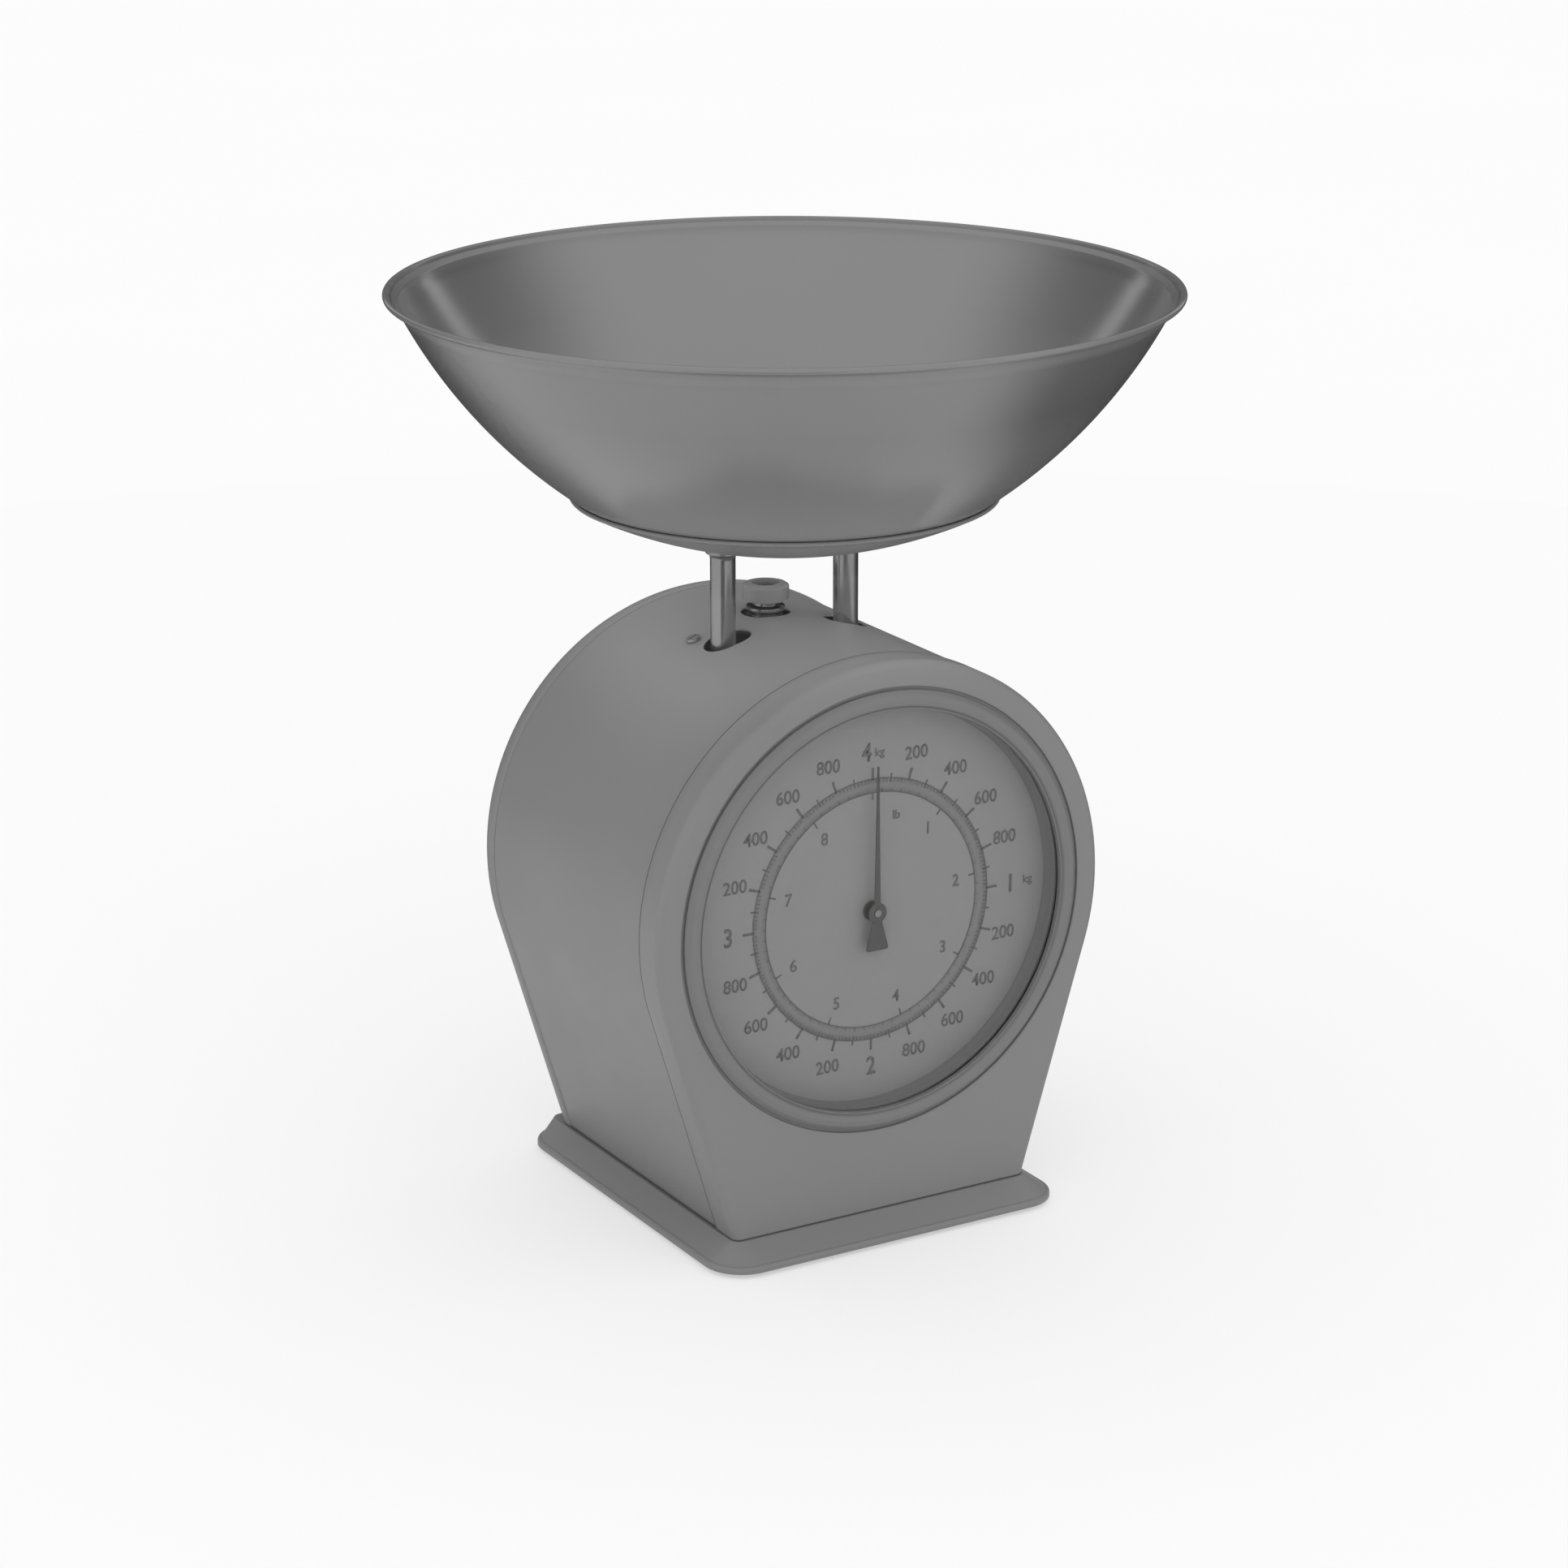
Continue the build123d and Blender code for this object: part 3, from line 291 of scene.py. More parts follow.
def add_surround(name, bm, turn, material):
    """A dark or light surface that only mirrors see, so that polished metal has the right contrast."""
    mesh = bpy.data.meshes.new(name)
    bm.to_mesh(mesh)
    bm.free()
    screen = bpy.data.objects.new(name, mesh)
    screen.rotation_euler = (0, 0, -radians(CAMERA_YAW + turn))
    bpy.context.scene.collection.objects.link(screen)
    mesh.materials.append(material)
    screen.visible_camera = False
    screen.visible_diffuse = False
    screen.visible_shadow = False


def dark_screen():
    bm = ring_sheet((SURROUND_RADIUS, SCREEN_FOOT), (SURROUND_RADIUS, SURROUND_TOP))
    paint = surround_paint("dark_screen_paint", NEAR_BLACK, SCREEN_FADES)
    add_surround("dark_screen", bm, SCREEN_TURN, paint)


def dark_mat():
    bm = ring_sheet((MAT_INNER, MAT_HEIGHT), (SURROUND_RADIUS, MAT_HEIGHT))
    paint = surround_paint("dark_mat_paint", NEAR_BLACK, MAT_FADES)
    add_surround("dark_mat", bm, MAT_TURN, paint)


def dark_strip():
    bm = ring_sheet((STRIP_INNER, STRIP_HEIGHT), (SURROUND_RADIUS, STRIP_HEIGHT))
    paint = surround_paint("dark_strip_paint", NEAR_BLACK, STRIP_FADES)
    add_surround("dark_strip", bm, STRIP_TURN, paint)


def light_streaks():
    paint = surround_paint("light_streak_paint", STREAK_TONE, STREAK_FADES)
    add_surround("light_streaks", streak_sheets(), 0, paint)


# ---------------------------------------------------------------- materials
WALL_SHINE = 0.52
LIP_SHINE = 0.22
# Painted shade: the bowl's base colour is darkened to these shares on the lip band and on the outer wall
# above the foot.
LIP_PAINTED_SHADE = 0.82
LIP_BAND = (0.0048, 0.0036)
OUTSIDE_PAINTED_SHADE = 0.87
FOOT_SHINE = 0.12
FOOT_FADE = 0.040


class Paint:
    """A Principled material with short calls for its texture nodes."""

    def __init__(self, name, **values):
        self.material = bpy.data.materials.new(name)
        self.material.use_nodes = True
        self.tree = self.material.node_tree
        self.shader = self.tree.nodes["Principled BSDF"]
        for key, value in values.items():
            self.shader.inputs[key.replace("_", " ")].default_value = value

    def node(self, kind, **values):
        node = self.tree.nodes.new(kind)
        for key, value in values.items():
            if hasattr(node, key):
                setattr(node, key, value)
            else:
                node.inputs[key.replace("_", " ")].default_value = value
        return node

    def link(self, a, b):
        self.tree.links.new(a, b)

    def into(self, socket, value):
        self.link(value, self.shader.inputs[socket])

    def coordinates(self, stretch=(1, 1, 1)):
        place = self.node("ShaderNodeTexCoord")
        mapping = self.node("ShaderNodeMapping", Scale=stretch)
        self.link(place.outputs["Object"], mapping.inputs["Vector"])
        return mapping.outputs["Vector"]

    def reach(self):
        """Distance from the upright axis of the object."""
        flat = self.node("ShaderNodeVectorMath", operation="LENGTH")
        self.link(self.coordinates((1, 1, 0)), flat.inputs[0])
        return flat.outputs["Value"]

    def height(self):
        split = self.node("ShaderNodeSeparateXYZ")
        self.link(self.coordinates(), split.inputs[0])
        return split.outputs["Z"]

    def facing_down(self):
        """1 where the surface looks down, 0 where it looks up."""
        place = self.node("ShaderNodeTexCoord")
        split = self.node("ShaderNodeSeparateXYZ")
        self.link(place.outputs["Normal"], split.inputs[0])
        return self.span(split.outputs["Z"], 1, 0, -0.1, 0.1)

    def noise(self, scale, detail=3.0, stretch=(1, 1, 1)):
        noise = self.node("ShaderNodeTexNoise", Scale=scale, Detail=detail)
        self.link(self.coordinates(stretch), noise.inputs["Vector"])
        return noise.outputs["Fac"]

    def ramp(self, factor, low, high, start=0.1, end=0.9):
        ramp = self.node("ShaderNodeValToRGB")
        ramp.color_ramp.elements[0].position = start
        ramp.color_ramp.elements[1].position = end
        ramp.color_ramp.elements[0].color = (*low, 1)
        ramp.color_ramp.elements[1].color = (*high, 1)
        self.link(factor, ramp.inputs["Fac"])
        return ramp.outputs["Color"]

    def tones(self, factor, tone, spread, tint=(1, 1, 1)):
        """A tinted tone that wanders by a share of itself to each side."""
        low = [tone * (1 - spread) * part for part in tint]
        high = [tone * (1 + spread) * part for part in tint]
        return self.ramp(factor, low, high)

    def span(self, factor, low, high, start=0.1, end=0.9):
        span = self.node("ShaderNodeMapRange")
        span.inputs["From Min"].default_value = start
        span.inputs["From Max"].default_value = end
        span.inputs["To Min"].default_value = low
        span.inputs["To Max"].default_value = high
        self.link(factor, span.inputs["Value"])
        return span.outputs["Result"]

    def between(self, share, low, high):
        """low where the share is 0, high where it is 1."""
        return self.span(share, low, high, 0, 1)

    def bump(self, height, strength, distance):
        bump = self.node("ShaderNodeBump")
        bump.inputs["Strength"].default_value = strength
        bump.inputs["Distance"].default_value = distance
        self.link(height, bump.inputs["Height"])
        self.link(bump.outputs["Normal"], self.shader.inputs["Normal"])


def enamel(name, tone, rough=0.42):
    """Stove enamel: nearly even colour, faint cloudiness and a slow ripple under a soft gloss."""
    p = Paint(name, Specular_IOR_Level=0.3)
    p.into("Base Color", p.tones(p.noise(scale=9.0, detail=2.0), tone, spread=0.05))
    p.into("Roughness", p.span(p.noise(scale=26.0, detail=2.0), rough - 0.08, rough + 0.08))
    p.bump(p.noise(scale=120.0, detail=0.0), strength=0.03, distance=0.0001)
    return p.material


def spun_steel(name, tone, rough):
    """Polished stainless steel: a mirror softened by turned rings and haze, duller at the lip and foot,
    with painted shade darkening the lip and the outer wall.
    """
    p = Paint(name, Anisotropic=0.55, Anisotropic_Rotation=0.25)
    tangent = p.node("ShaderNodeTangent", direction_type="RADIAL", axis="Z")
    p.link(tangent.outputs["Tangent"], p.shader.inputs["Tangent"])
    rings = p.noise(scale=12.0, stretch=(0.1, 0.1, 40.0))
    on_lip = p.span(p.reach(), 0, 1, BOWL_LIP[0] - LIP_BAND[0], BOWL_LIP[0] - LIP_BAND[1])
    rise = p.span(p.height(), 0, 1, BOWL_FOOT_Z, BOWL_FOOT_Z + FOOT_FADE)
    lip_shine = p.between(on_lip, WALL_SHINE, LIP_SHINE)
    foot_shine = p.between(rise, FOOT_SHINE, WALL_SHINE)
    p.into("Metallic", math_node(p.tree, "MINIMUM", lip_shine, foot_shine))
    # Painted shade: the outer wall above the foot and the lip band are darkened in the base colour.
    outer_wall = math_node(p.tree, "MULTIPLY", p.facing_down(), rise)
    lip_painted_shade = p.between(on_lip, 1, LIP_PAINTED_SHADE)
    painted_shade = math_node(p.tree, "MINIMUM", lip_painted_shade, p.between(outer_wall, 1, OUTSIDE_PAINTED_SHADE))
    haze = p.span(p.noise(scale=7.0, detail=2.0), tone * 0.97, tone * 1.03)
    p.into("Base Color", math_node(p.tree, "MULTIPLY", haze, painted_shade))
    p.into("Roughness", p.span(rings, rough - 0.02, rough + 0.03))
    p.bump(rings, strength=0.01, distance=0.0001)
    return p.material


def bright_metal(name, tone, rough, tint=(1, 1, 1), metallic=1.0):
    """Plated or ground metal with faint drawn lines."""
    drawn = (1, 1, 0.1)
    p = Paint(name, Metallic=metallic)
    p.into("Base Color", p.tones(p.noise(scale=40.0), tone, spread=0.05, tint=tint))
    p.into("Roughness", p.span(p.noise(scale=160.0, stretch=drawn), rough - 0.03, rough + 0.05))
    p.bump(p.noise(scale=300.0, detail=2.0, stretch=drawn), strength=0.02, distance=0.00005)
    return p.material


def moulded(name, tone, rough, grain=0.08):
    """Moulded plastic or rubber with a fine grain."""
    p = Paint(name)
    p.into("Base Color", p.tones(p.noise(scale=40.0, detail=4.0), tone, spread=0.06))
    p.into("Roughness", p.span(p.noise(scale=120.0), rough - 0.05, rough + 0.07))
    p.bump(p.noise(scale=700.0, detail=2.0), strength=grain, distance=0.0001)
    return p.material


def printed(name, tone, rough=0.6):
    """Card or printing ink: soft, with a trace of cloudiness in the paper."""
    p = Paint(name)
    p.into("Base Color", p.tones(p.noise(scale=60.0), tone, spread=0.015))
    p.into("Roughness", p.span(p.noise(scale=90.0), rough - 0.05, rough + 0.1))
    return p.material


def clear_sheet(name, gloss):
    """The clear lens: almost all light goes straight through, a little is mirrored."""
    material = bpy.data.materials.new(name)
    material.use_nodes = True
    tree = material.node_tree
    tree.nodes.clear()
    through = tree.nodes.new("ShaderNodeBsdfTransparent")
    through.inputs["Color"].default_value = (*grey(0.99), 1)
    mirror = tree.nodes.new("ShaderNodeBsdfGlossy")
    noise = tree.nodes.new("ShaderNodeTexNoise")
    noise.inputs["Scale"].default_value = 40.0
    span = tree.nodes.new("ShaderNodeMapRange")
    span.inputs["To Min"].default_value = 0.05
    span.inputs["To Max"].default_value = 0.10
    tree.links.new(noise.outputs["Fac"], span.inputs["Value"])
    tree.links.new(span.outputs["Result"], mirror.inputs["Roughness"])
    mix = tree.nodes.new("ShaderNodeMixShader")
    mix.inputs[0].default_value = gloss
    tree.links.new(through.outputs[0], mix.inputs[1])
    tree.links.new(mirror.outputs[0], mix.inputs[2])
    out = tree.nodes.new("ShaderNodeOutputMaterial")
    tree.links.new(mix.outputs[0], out.inputs[0])
    return material


ENAMEL = enamel("body_enamel", 0.215)
BASE_ENAMEL = enamel("base_enamel", 0.205)
# Painted shade: dark strips laid in the body's joints, standing for the shade in their narrow gaps.
SEAM_SHADE = moulded("seam_painted_shade", 0.07, rough=0.7)
BEZEL = enamel("bezel_enamel", 0.178, rough=0.35)
PLATTER = enamel("platter_enamel", 0.195, rough=0.35)
KNOB = enamel("knob_enamel", 0.2, rough=0.3)
BOWL = spun_steel("bowl_steel", 0.255, rough=0.22)
POST = bright_metal("post_chrome", 0.27, rough=0.2, metallic=0.8)
COLLAR = bright_metal("collar_chrome", 0.24, rough=0.16, metallic=0.85)
SCREW = bright_metal("screw_steel", 0.27, rough=0.25, metallic=0.55)
ZINC = bright_metal("zinc_plate", 0.42, rough=0.38, tint=(1.0, 1.0, 0.96))
PIN = bright_metal("ground_pin", 0.30, rough=0.22)
SHAFT = bright_metal("shaft_steel", 0.20, rough=0.35, metallic=0.6)
BRASS = bright_metal("turned_brass", 0.55, rough=0.28, tint=(1.0, 0.78, 0.38))
# Brass in a very dark tone, for the flange round the pointer's shaft.
BRASS_DARK = bright_metal("dark_brass", 0.07, rough=0.4, tint=(1.0, 0.9, 0.75), metallic=0.5)
WIRE = bright_metal("spring_wire", 0.3, rough=0.3)
RUBBER = moulded("black_rubber", 0.02, rough=0.75, grain=0.2)
# Dark plastic for the spacer, made darker still as painted shade for the dial's recess.
SPACER_PLASTIC_AND_SHADE = moulded("lens_spacer_plastic_and_shade", 0.155, rough=0.65, grain=0.03)
CARD = printed("dial_card_print", 0.222)
INK = printed("dial_ink", 0.105)
BAND_INK = printed("dial_band_ink", 0.165)
NEEDLE = printed("needle_paint", 0.045, rough=0.5)
LENS = clear_sheet("lens_clear", gloss=0.02)

NODE_PAINT = {
    ENAMEL: ["wrap_shell", "front_cover", "rear_cover"],
    BASE_ENAMEL: ["base_plate"],
    BEZEL: ["bezel_ring"],
    PLATTER: ["platter"],
    KNOB: ["zero_knob"],
    BOWL: ["bowl"],
    POST: ["load_posts"],
    COLLAR: ["zero_collar", "zero_screw"],
    SCREW: ["foot_screws", "rear_cover_screws", "top_screws", "frame_screws", "post_screws",
            "platter_screws", "shaft_clip"],
    ZINC: ["bezel_clamp_ring", "dial_plate", "bearing_plate", "shaft_bridge", "main_frame",
           "rear_cover_brackets", "top_stiffener", "carriage_frame", "rack_arm", "upper_lever",
           "lower_lever", "anchor_bar", "platter_washers"],
    PIN: ["carriage_pins", "lower_spring_pins", "upper_spring_pins", "upper_lever_rod",
          "lower_lever_rod", "dial_pillars"],
    SHAFT: ["pointer_shaft"],
    BRASS: ["front_shaft_bush", "rear_shaft_bush", "pinion", "pointer_hub", "rack"],
    WIRE: ["extension_springs"],
    RUBBER: ["rubber_feet", "overload_stop"],
    CARD: ["dial_card"],
    NEEDLE: ["pointer"],
    LENS: ["lens"],
}


def paint_nodes():
    for material, names in NODE_PAINT.items():
        for name in names:
            for place in NODES[name].material_slots:
                place.link = "OBJECT"
                place.material = material


# ---------------------------------------------------------------- mesh helpers
WELD = 1e-7
NEARLY_NOTHING = 1e-6
CORNER_SHARE = 0.49


def mesh_object(name, bm, material, body, nodes=(), sharp=35):
    """A piece from a bmesh: shaded smooth up to the sharp angle, riding on its body."""
    bmesh.ops.remove_doubles(bm, verts=bm.verts, dist=WELD)
    bmesh.ops.recalc_face_normals(bm, faces=bm.faces)
    mesh = bpy.data.meshes.new(name)
    bm.to_mesh(mesh)
    bm.free()
    mesh.shade_smooth()
    mesh.set_sharp_from_angle(angle=radians(sharp))
    mesh.materials.append(material)
    obj = bpy.data.objects.new(name, mesh)
    bpy.context.scene.collection.objects.link(obj)
    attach(obj, body)
    if nodes:
        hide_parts(*nodes)
    return obj


def rounded(points, steps=6):
    """A line through (a, b, radius) corners, each rounded to its radius."""
    line = []
    for i, (a, b, radius) in enumerate(points):
        here = Vector((a, b))
        if radius == 0 or i in (0, len(points) - 1):
            line.append(here)
            continue
        before = Vector(points[i - 1][:2]) - here
        after = Vector(points[i + 1][:2]) - here
        half = before.angle(after) / 2
        wanted = radius / max(sin(half) / cos(half), NEARLY_NOTHING)
        back = min(wanted, before.length * CORNER_SHARE, after.length * CORNER_SHARE)
        start = here + before.normalized() * back
        end = here + after.normalized() * back
        for k in range(steps + 1):
            t = k / steps
            line.append((1 - t) ** 2 * start + 2 * t * (1 - t) * here + t ** 2 * end)
    return line


def arc(centre, radius, start, end, steps):
    """Points on a circle from one angle to another, in degrees anticlockwise from the first axis."""
    turns = [radians(start + (end - start) * i / steps) for i in range(steps + 1)]
    return [Vector((centre[0] + radius * cos(t), centre[1] + radius * sin(t))) for t in turns]


def turned_z(radius, height, angle):
    return Vector((radius * cos(angle), radius * sin(angle), height))


def turned_y(radius, height, angle):
    return Vector((radius * cos(angle), height, radius * sin(angle)))


def lathe(profile, centre, turned, segments, bm=None):
    """A bmesh turned from (radius, height) points about an axis through centre."""
    bm = bm or bmesh.new()
    centre = Vector(centre)
    rings = []
    for radius, height in profile:
        if radius < NEARLY_NOTHING:
            rings.append([bm.verts.new(centre + turned(0, height, 0))])
        else:
            angles = [2 * pi * i / segments for i in range(segments)]
            rings.append([bm.verts.new(centre + turned(radius, height, angle)) for angle in angles])
    for low, high in zip(rings, rings[1:]):
        for i in range(segments):
            j = (i + 1) % segments
            corners = [low[i % len(low)], low[j % len(low)], high[j % len(high)], high[i % len(high)]]
            corners = list(dict.fromkeys(corners))
            if len(corners) > 2:
                bm.faces.new(corners)
    return bm


def join_loops(bm, low, high):
    """A band of faces between two closed loops of equal length."""
    for i in range(len(low)):
        j = (i + 1) % len(low)
        bm.faces.new((low[i], low[j], high[j], high[i]))


def add_strips(bm, lines):
    """Bands of faces between open lines of points; returns the last line's vertices."""
    rows = [[bm.verts.new(p) for p in line] for line in lines]
    for low, high in zip(rows, rows[1:]):
        for i in range(len(low) - 1):
            bm.faces.new((low[i], low[i + 1], high[i + 1], high[i]))
    return rows[-1]


# ---------------------------------------------------------------- body covers
ARC_STEPS = 120
SIDE_STEPS = 14
FILLET_STEPS = 12
BOTTOM_STEPS = 24
FOOT_ARC_STEPS = 10
LIP_SHARES = (0.15, 0.35, 0.6, 1.0)
FLANK_SHARES = (0.4, 0.7, 0.95)
GROOVE_RADIUS = 0.0719
GROOVE_DEPTH = 0.0010
GROOVE_MARGIN = 0.0012
GROOVE_EDGE = 0.0005
GROOVE_CORNER = 0.0002
GROOVE_LAP = 0.001
SEAM_WIDTH = 0.00032
SEAM_RISE = 0.0001
FOOT_SEAM_OUT = 0.00005
FOOT_SEAM_HEIGHT = 0.00045
FOOT_SEAM_THICKNESS = 0.0003
# the foot seam's lean, as a share of the flank's mean lean up to its widest point
FOOT_SEAM_LEAN = 0.8


def body_outline(inset, y):
    """The body's front view, inset evenly, from the foot at +X over the arch to the foot at -X."""
    foot_distance = hypot(FOOT_HALF_WIDTH, FOOT_Z - ARCH_Z)
    side_angle = atan2(FOOT_HALF_WIDTH, FOOT_Z - ARCH_Z) - acos(ARCH_RADIUS / foot_distance)
    radius = ARCH_RADIUS - inset
    foot_x = (radius - cos(side_angle) * (FOOT_Z - ARCH_Z)) / sin(side_angle)
    tangent = Vector((radius * sin(side_angle), ARCH_Z + radius * cos(side_angle)))
    right = [Vector((foot_x, FOOT_Z)).lerp(tangent, i / SIDE_STEPS) for i in range(SIDE_STEPS)]
    start = pi / 2 - side_angle
    turns = [start + (pi - 2 * start) * i / ARC_STEPS for i in range(ARC_STEPS + 1)]
    over = [Vector((radius * cos(t), ARCH_Z + radius * sin(t))) for t in turns]
    left = [Vector((-p.x, p.y)) for p in reversed(right)]
    return [Vector((p.x, y, p.y)) for p in right + over + left]


def cover_sections(sign, fillet, taper):
    """(inset, y) of a cover's rings from its lip to the flat face; sign is -1 in front, 1 behind."""
    lip_y = HALF_DEPTH - COVER_DEPTH
    rings = [(LIP_INSET + SHEET, lip_y), (LIP_INSET, lip_y)]
    for share in LIP_SHARES:
        rings.append((LIP_INSET * (1 - share) ** 2, lip_y + taper * share))
    start_y = HALF_DEPTH - fillet
    if start_y - lip_y > 2 * taper:
        rings += [(0.0, lip_y + (start_y - lip_y) * share) for share in FLANK_SHARES]
    for i in range(FILLET_STEPS + 1):
        angle = pi / 2 * i / FILLET_STEPS
        rings.append((fillet * (1 - cos(angle)), start_y + fillet * sin(angle)))
    rings.append((fillet + SHEET, HALF_DEPTH))
    return [(inset, sign * y) for inset, y in rings]


def cover_edge(bm, sign, fillet, taper):
    """A cover's rounded edge; returns the vertices where its flat face begins."""
    return add_strips(bm, [body_outline(inset, y) for inset, y in cover_sections(sign, fillet, taper)])


def front_cover():
    """The front tray: rounded edge, flat face and a narrow sunk channel round the bezel."""
    bm = bmesh.new()
    edge = cover_edge(bm, -1, FRONT_FILLET, FRONT_TAPER)
    face = -HALF_DEPTH
    sunk = face + GROOVE_DEPTH
    channel = rounded([(GROOVE_RADIUS + GROOVE_MARGIN, face, 0), (GROOVE_RADIUS, face, GROOVE_EDGE),
                       (GROOVE_RADIUS, sunk, GROOVE_CORNER), (BEZEL_RADIUS - GROOVE_LAP, sunk, 0)])
    bottom = [edge[-1].co.lerp(edge[0].co, i / BOTTOM_STEPS) for i in range(1, BOTTOM_STEPS)]
    loops = [edge + [bm.verts.new(p) for p in bottom]]
    for radius, y in channel:
        ring = []
        for vert in loops[0]:
            outward = Vector((vert.co.x, vert.co.z - ARCH_Z)).normalized()
            ring.append(bm.verts.new((outward.x * radius, y, ARCH_Z + outward.y * radius)))
        loops.append(ring)
    for outer, inner in zip(loops, loops[1:]):
        join_loops(bm, outer, inner)
    mesh_object("front_cover_skin", bm, ENAMEL, "housing", ["front_cover"])


def front_seam():
    """A dark strip of painted shade in the joint between the front cover and the wrap."""
    bm = bmesh.new()
    back = COVER_DEPTH - HALF_DEPTH
    front = back - SEAM_WIDTH
    sections = ((SEAM_RISE, front), (0, front), (0, back), (SHEET, back + SEAM_RISE))
    add_strips(bm, [body_outline(inset, y) for inset, y in sections])
    mesh_object("front_seam", bm, SEAM_SHADE, "housing")


def rear_cover():
    """The rear tray with its wide rounded edge; the screws sit on its flat face."""
    bm = bmesh.new()
    bm.faces.new(cover_edge(bm, 1, REAR_FILLET, REAR_TAPER))
    mesh_object("rear_cover_skin", bm, ENAMEL, "housing", ["rear_cover"])


def foot_plan(half_width, z):
    """The body's plan at height z: tight corners at the front, wide ones at the rear."""
    line = []
    corners = [(1, -1, FRONT_FILLET), (1, 1, REAR_FILLET), (-1, 1, REAR_FILLET), (-1, -1, FRONT_FILLET)]
    for i, (sx, sy, radius) in enumerate(corners):
        centre = (sx * (half_width - radius), sy * (HALF_DEPTH - radius))
        start = -90 + 90 * i
        corner = arc(centre, radius + FOOT_SEAM_OUT, start, start + 90, FOOT_ARC_STEPS)
        line += [Vector((p.x, p.y, z)) for p in corner]
    return line


def foot_seam():
    """A dark strip of painted shade where the body stands in the base."""
    bm = bmesh.new()
    slope = (ARCH_RADIUS - FOOT_HALF_WIDTH) / (ARCH_Z - FOOT_Z) * FOOT_SEAM_LEAN
    rings = []
    for rise in (0.0, FOOT_SEAM_HEIGHT):
        plan = foot_plan(FOOT_HALF_WIDTH + slope * rise, FOOT_Z + rise)
        rings.append([bm.verts.new(p) for p in plan])
    join_loops(bm, *rings)
    obj = mesh_object("foot_seam", bm, SEAM_SHADE, "housing")
    thick = obj.modifiers.new("thickness", "SOLIDIFY")
    thick.thickness = FOOT_SEAM_THICKNESS
    thick.offset = -1


# ---------------------------------------------------------------- bezel, spacer and pointer
LARGE_SEGMENTS = 256
SMALL_SEGMENTS = 64
BEZEL_INNER = 0.065
BEAD_WALL_LEAN = 0.0002
BEAD_WALL_TOP = 0.0001
BEAD_WALL_CORNER = 0.0008
# (radius, depth behind the front, corner radius) from the bead's shoulder to its rolled inner edge
BEAD_SECTION = ((BEZEL_RADIUS - 0.0016, 0.00025, 0.0012), (0.0678, 0, 0.0012), (0.0662, 0.0004, 0.0008),
                (0.0657, 0.0013, 0.0003), (0.0654, 0.0009, 0.0002), (BEZEL_INNER, 0.0009, 0.0003))
SPACER_FOOT = 0.0640
SPACER_CORNER = 0.0002
SPACER_LAP = 0.0001
LENS_GAP = 0.00005
# (radius, depth behind the dial's face, corner radius)
SHAFT_BUSH_SECTION = ((0.0026, 0.001, 0), (0.0032, -0.0001, 0.0001), (0.0030, -0.0005, 0.0002),
                      (0.00135, -0.0006, 0.0002), (0.00135, 0.001, 0))
NEEDLE_TIP_HALF = 0.0003
NEEDLE_EDGE = 0.00008
# (half width, height above the shaft) where the needle and its tail leave the boss
NEEDLE_ROOT = (0.0011, 0.0018)
TAIL_ROOT = (0.0012, -0.0010)
TAIL_CORNER = 0.0006
BOSS_RADIUS = 0.0033
BOSS_TOP_RADIUS = 0.0028
BOSS_RISE = 0.0003
BOSS_HOLLOW_WIDTH = 0.0004
BOSS_HOLLOW_RISE = 0.0001


def bezel():
    """The painted ring: a full round bead with a fine rolled inner edge down to the lens."""
    face = -HALF_DEPTH
    wall = [(BEZEL_RADIUS - BEAD_WALL_LEAN, face + GROOVE_DEPTH, 0),
            (BEZEL_RADIUS, face - BEAD_WALL_TOP, BEAD_WALL_CORNER)]
    bead = [(radius, BEZEL_LOW.y + depth, corner) for radius, depth, corner in BEAD_SECTION]
    profile = rounded(wall + bead + [(BEZEL_INNER, LENS_LOW.y, 0)])
    bm = lathe(profile, (0, 0, ARCH_Z), turned_y, LARGE_SEGMENTS)
    mesh_object("bezel_bead", bm, BEZEL, "housing", ["bezel_ring"])


def spacer():
    """The sloping ring between the lens and the edge of the dial, in dark plastic that also carries painted
    shade for the recess.
    """
    front = LENS_HIGH.y + LENS_GAP
    back = DIAL_FACE_Y - SPACER_LAP
    profile = rounded([(LENS_RADIUS, front, 0), (BEZEL_INNER - SPACER_LAP, front, SPACER_CORNER),
                       (SPACER_FOOT, back, SPACER_CORNER), (LENS_RADIUS, back, 0), (LENS_RADIUS, front, 0)])
    bm = lathe(profile, (0, 0, ARCH_Z), turned_y, LARGE_SEGMENTS)
    mesh_object("spacer_slope", bm, SPACER_PLASTIC_AND_SHADE, "housing", ["lens_spacer"])


def shaft_bush():
    """The flanged bearing that fills the hole of the dial round the pointer's shaft."""
    profile = rounded([(radius, DIAL_FACE_Y + depth, corner)
                       for radius, depth, corner in SHAFT_BUSH_SECTION])
    bm = lathe(profile, (0, 0, DIAL_CENTRE_Z), turned_y, SMALL_SEGMENTS)
    mesh_object("shaft_bush_flange", bm, BRASS_DARK, "housing")


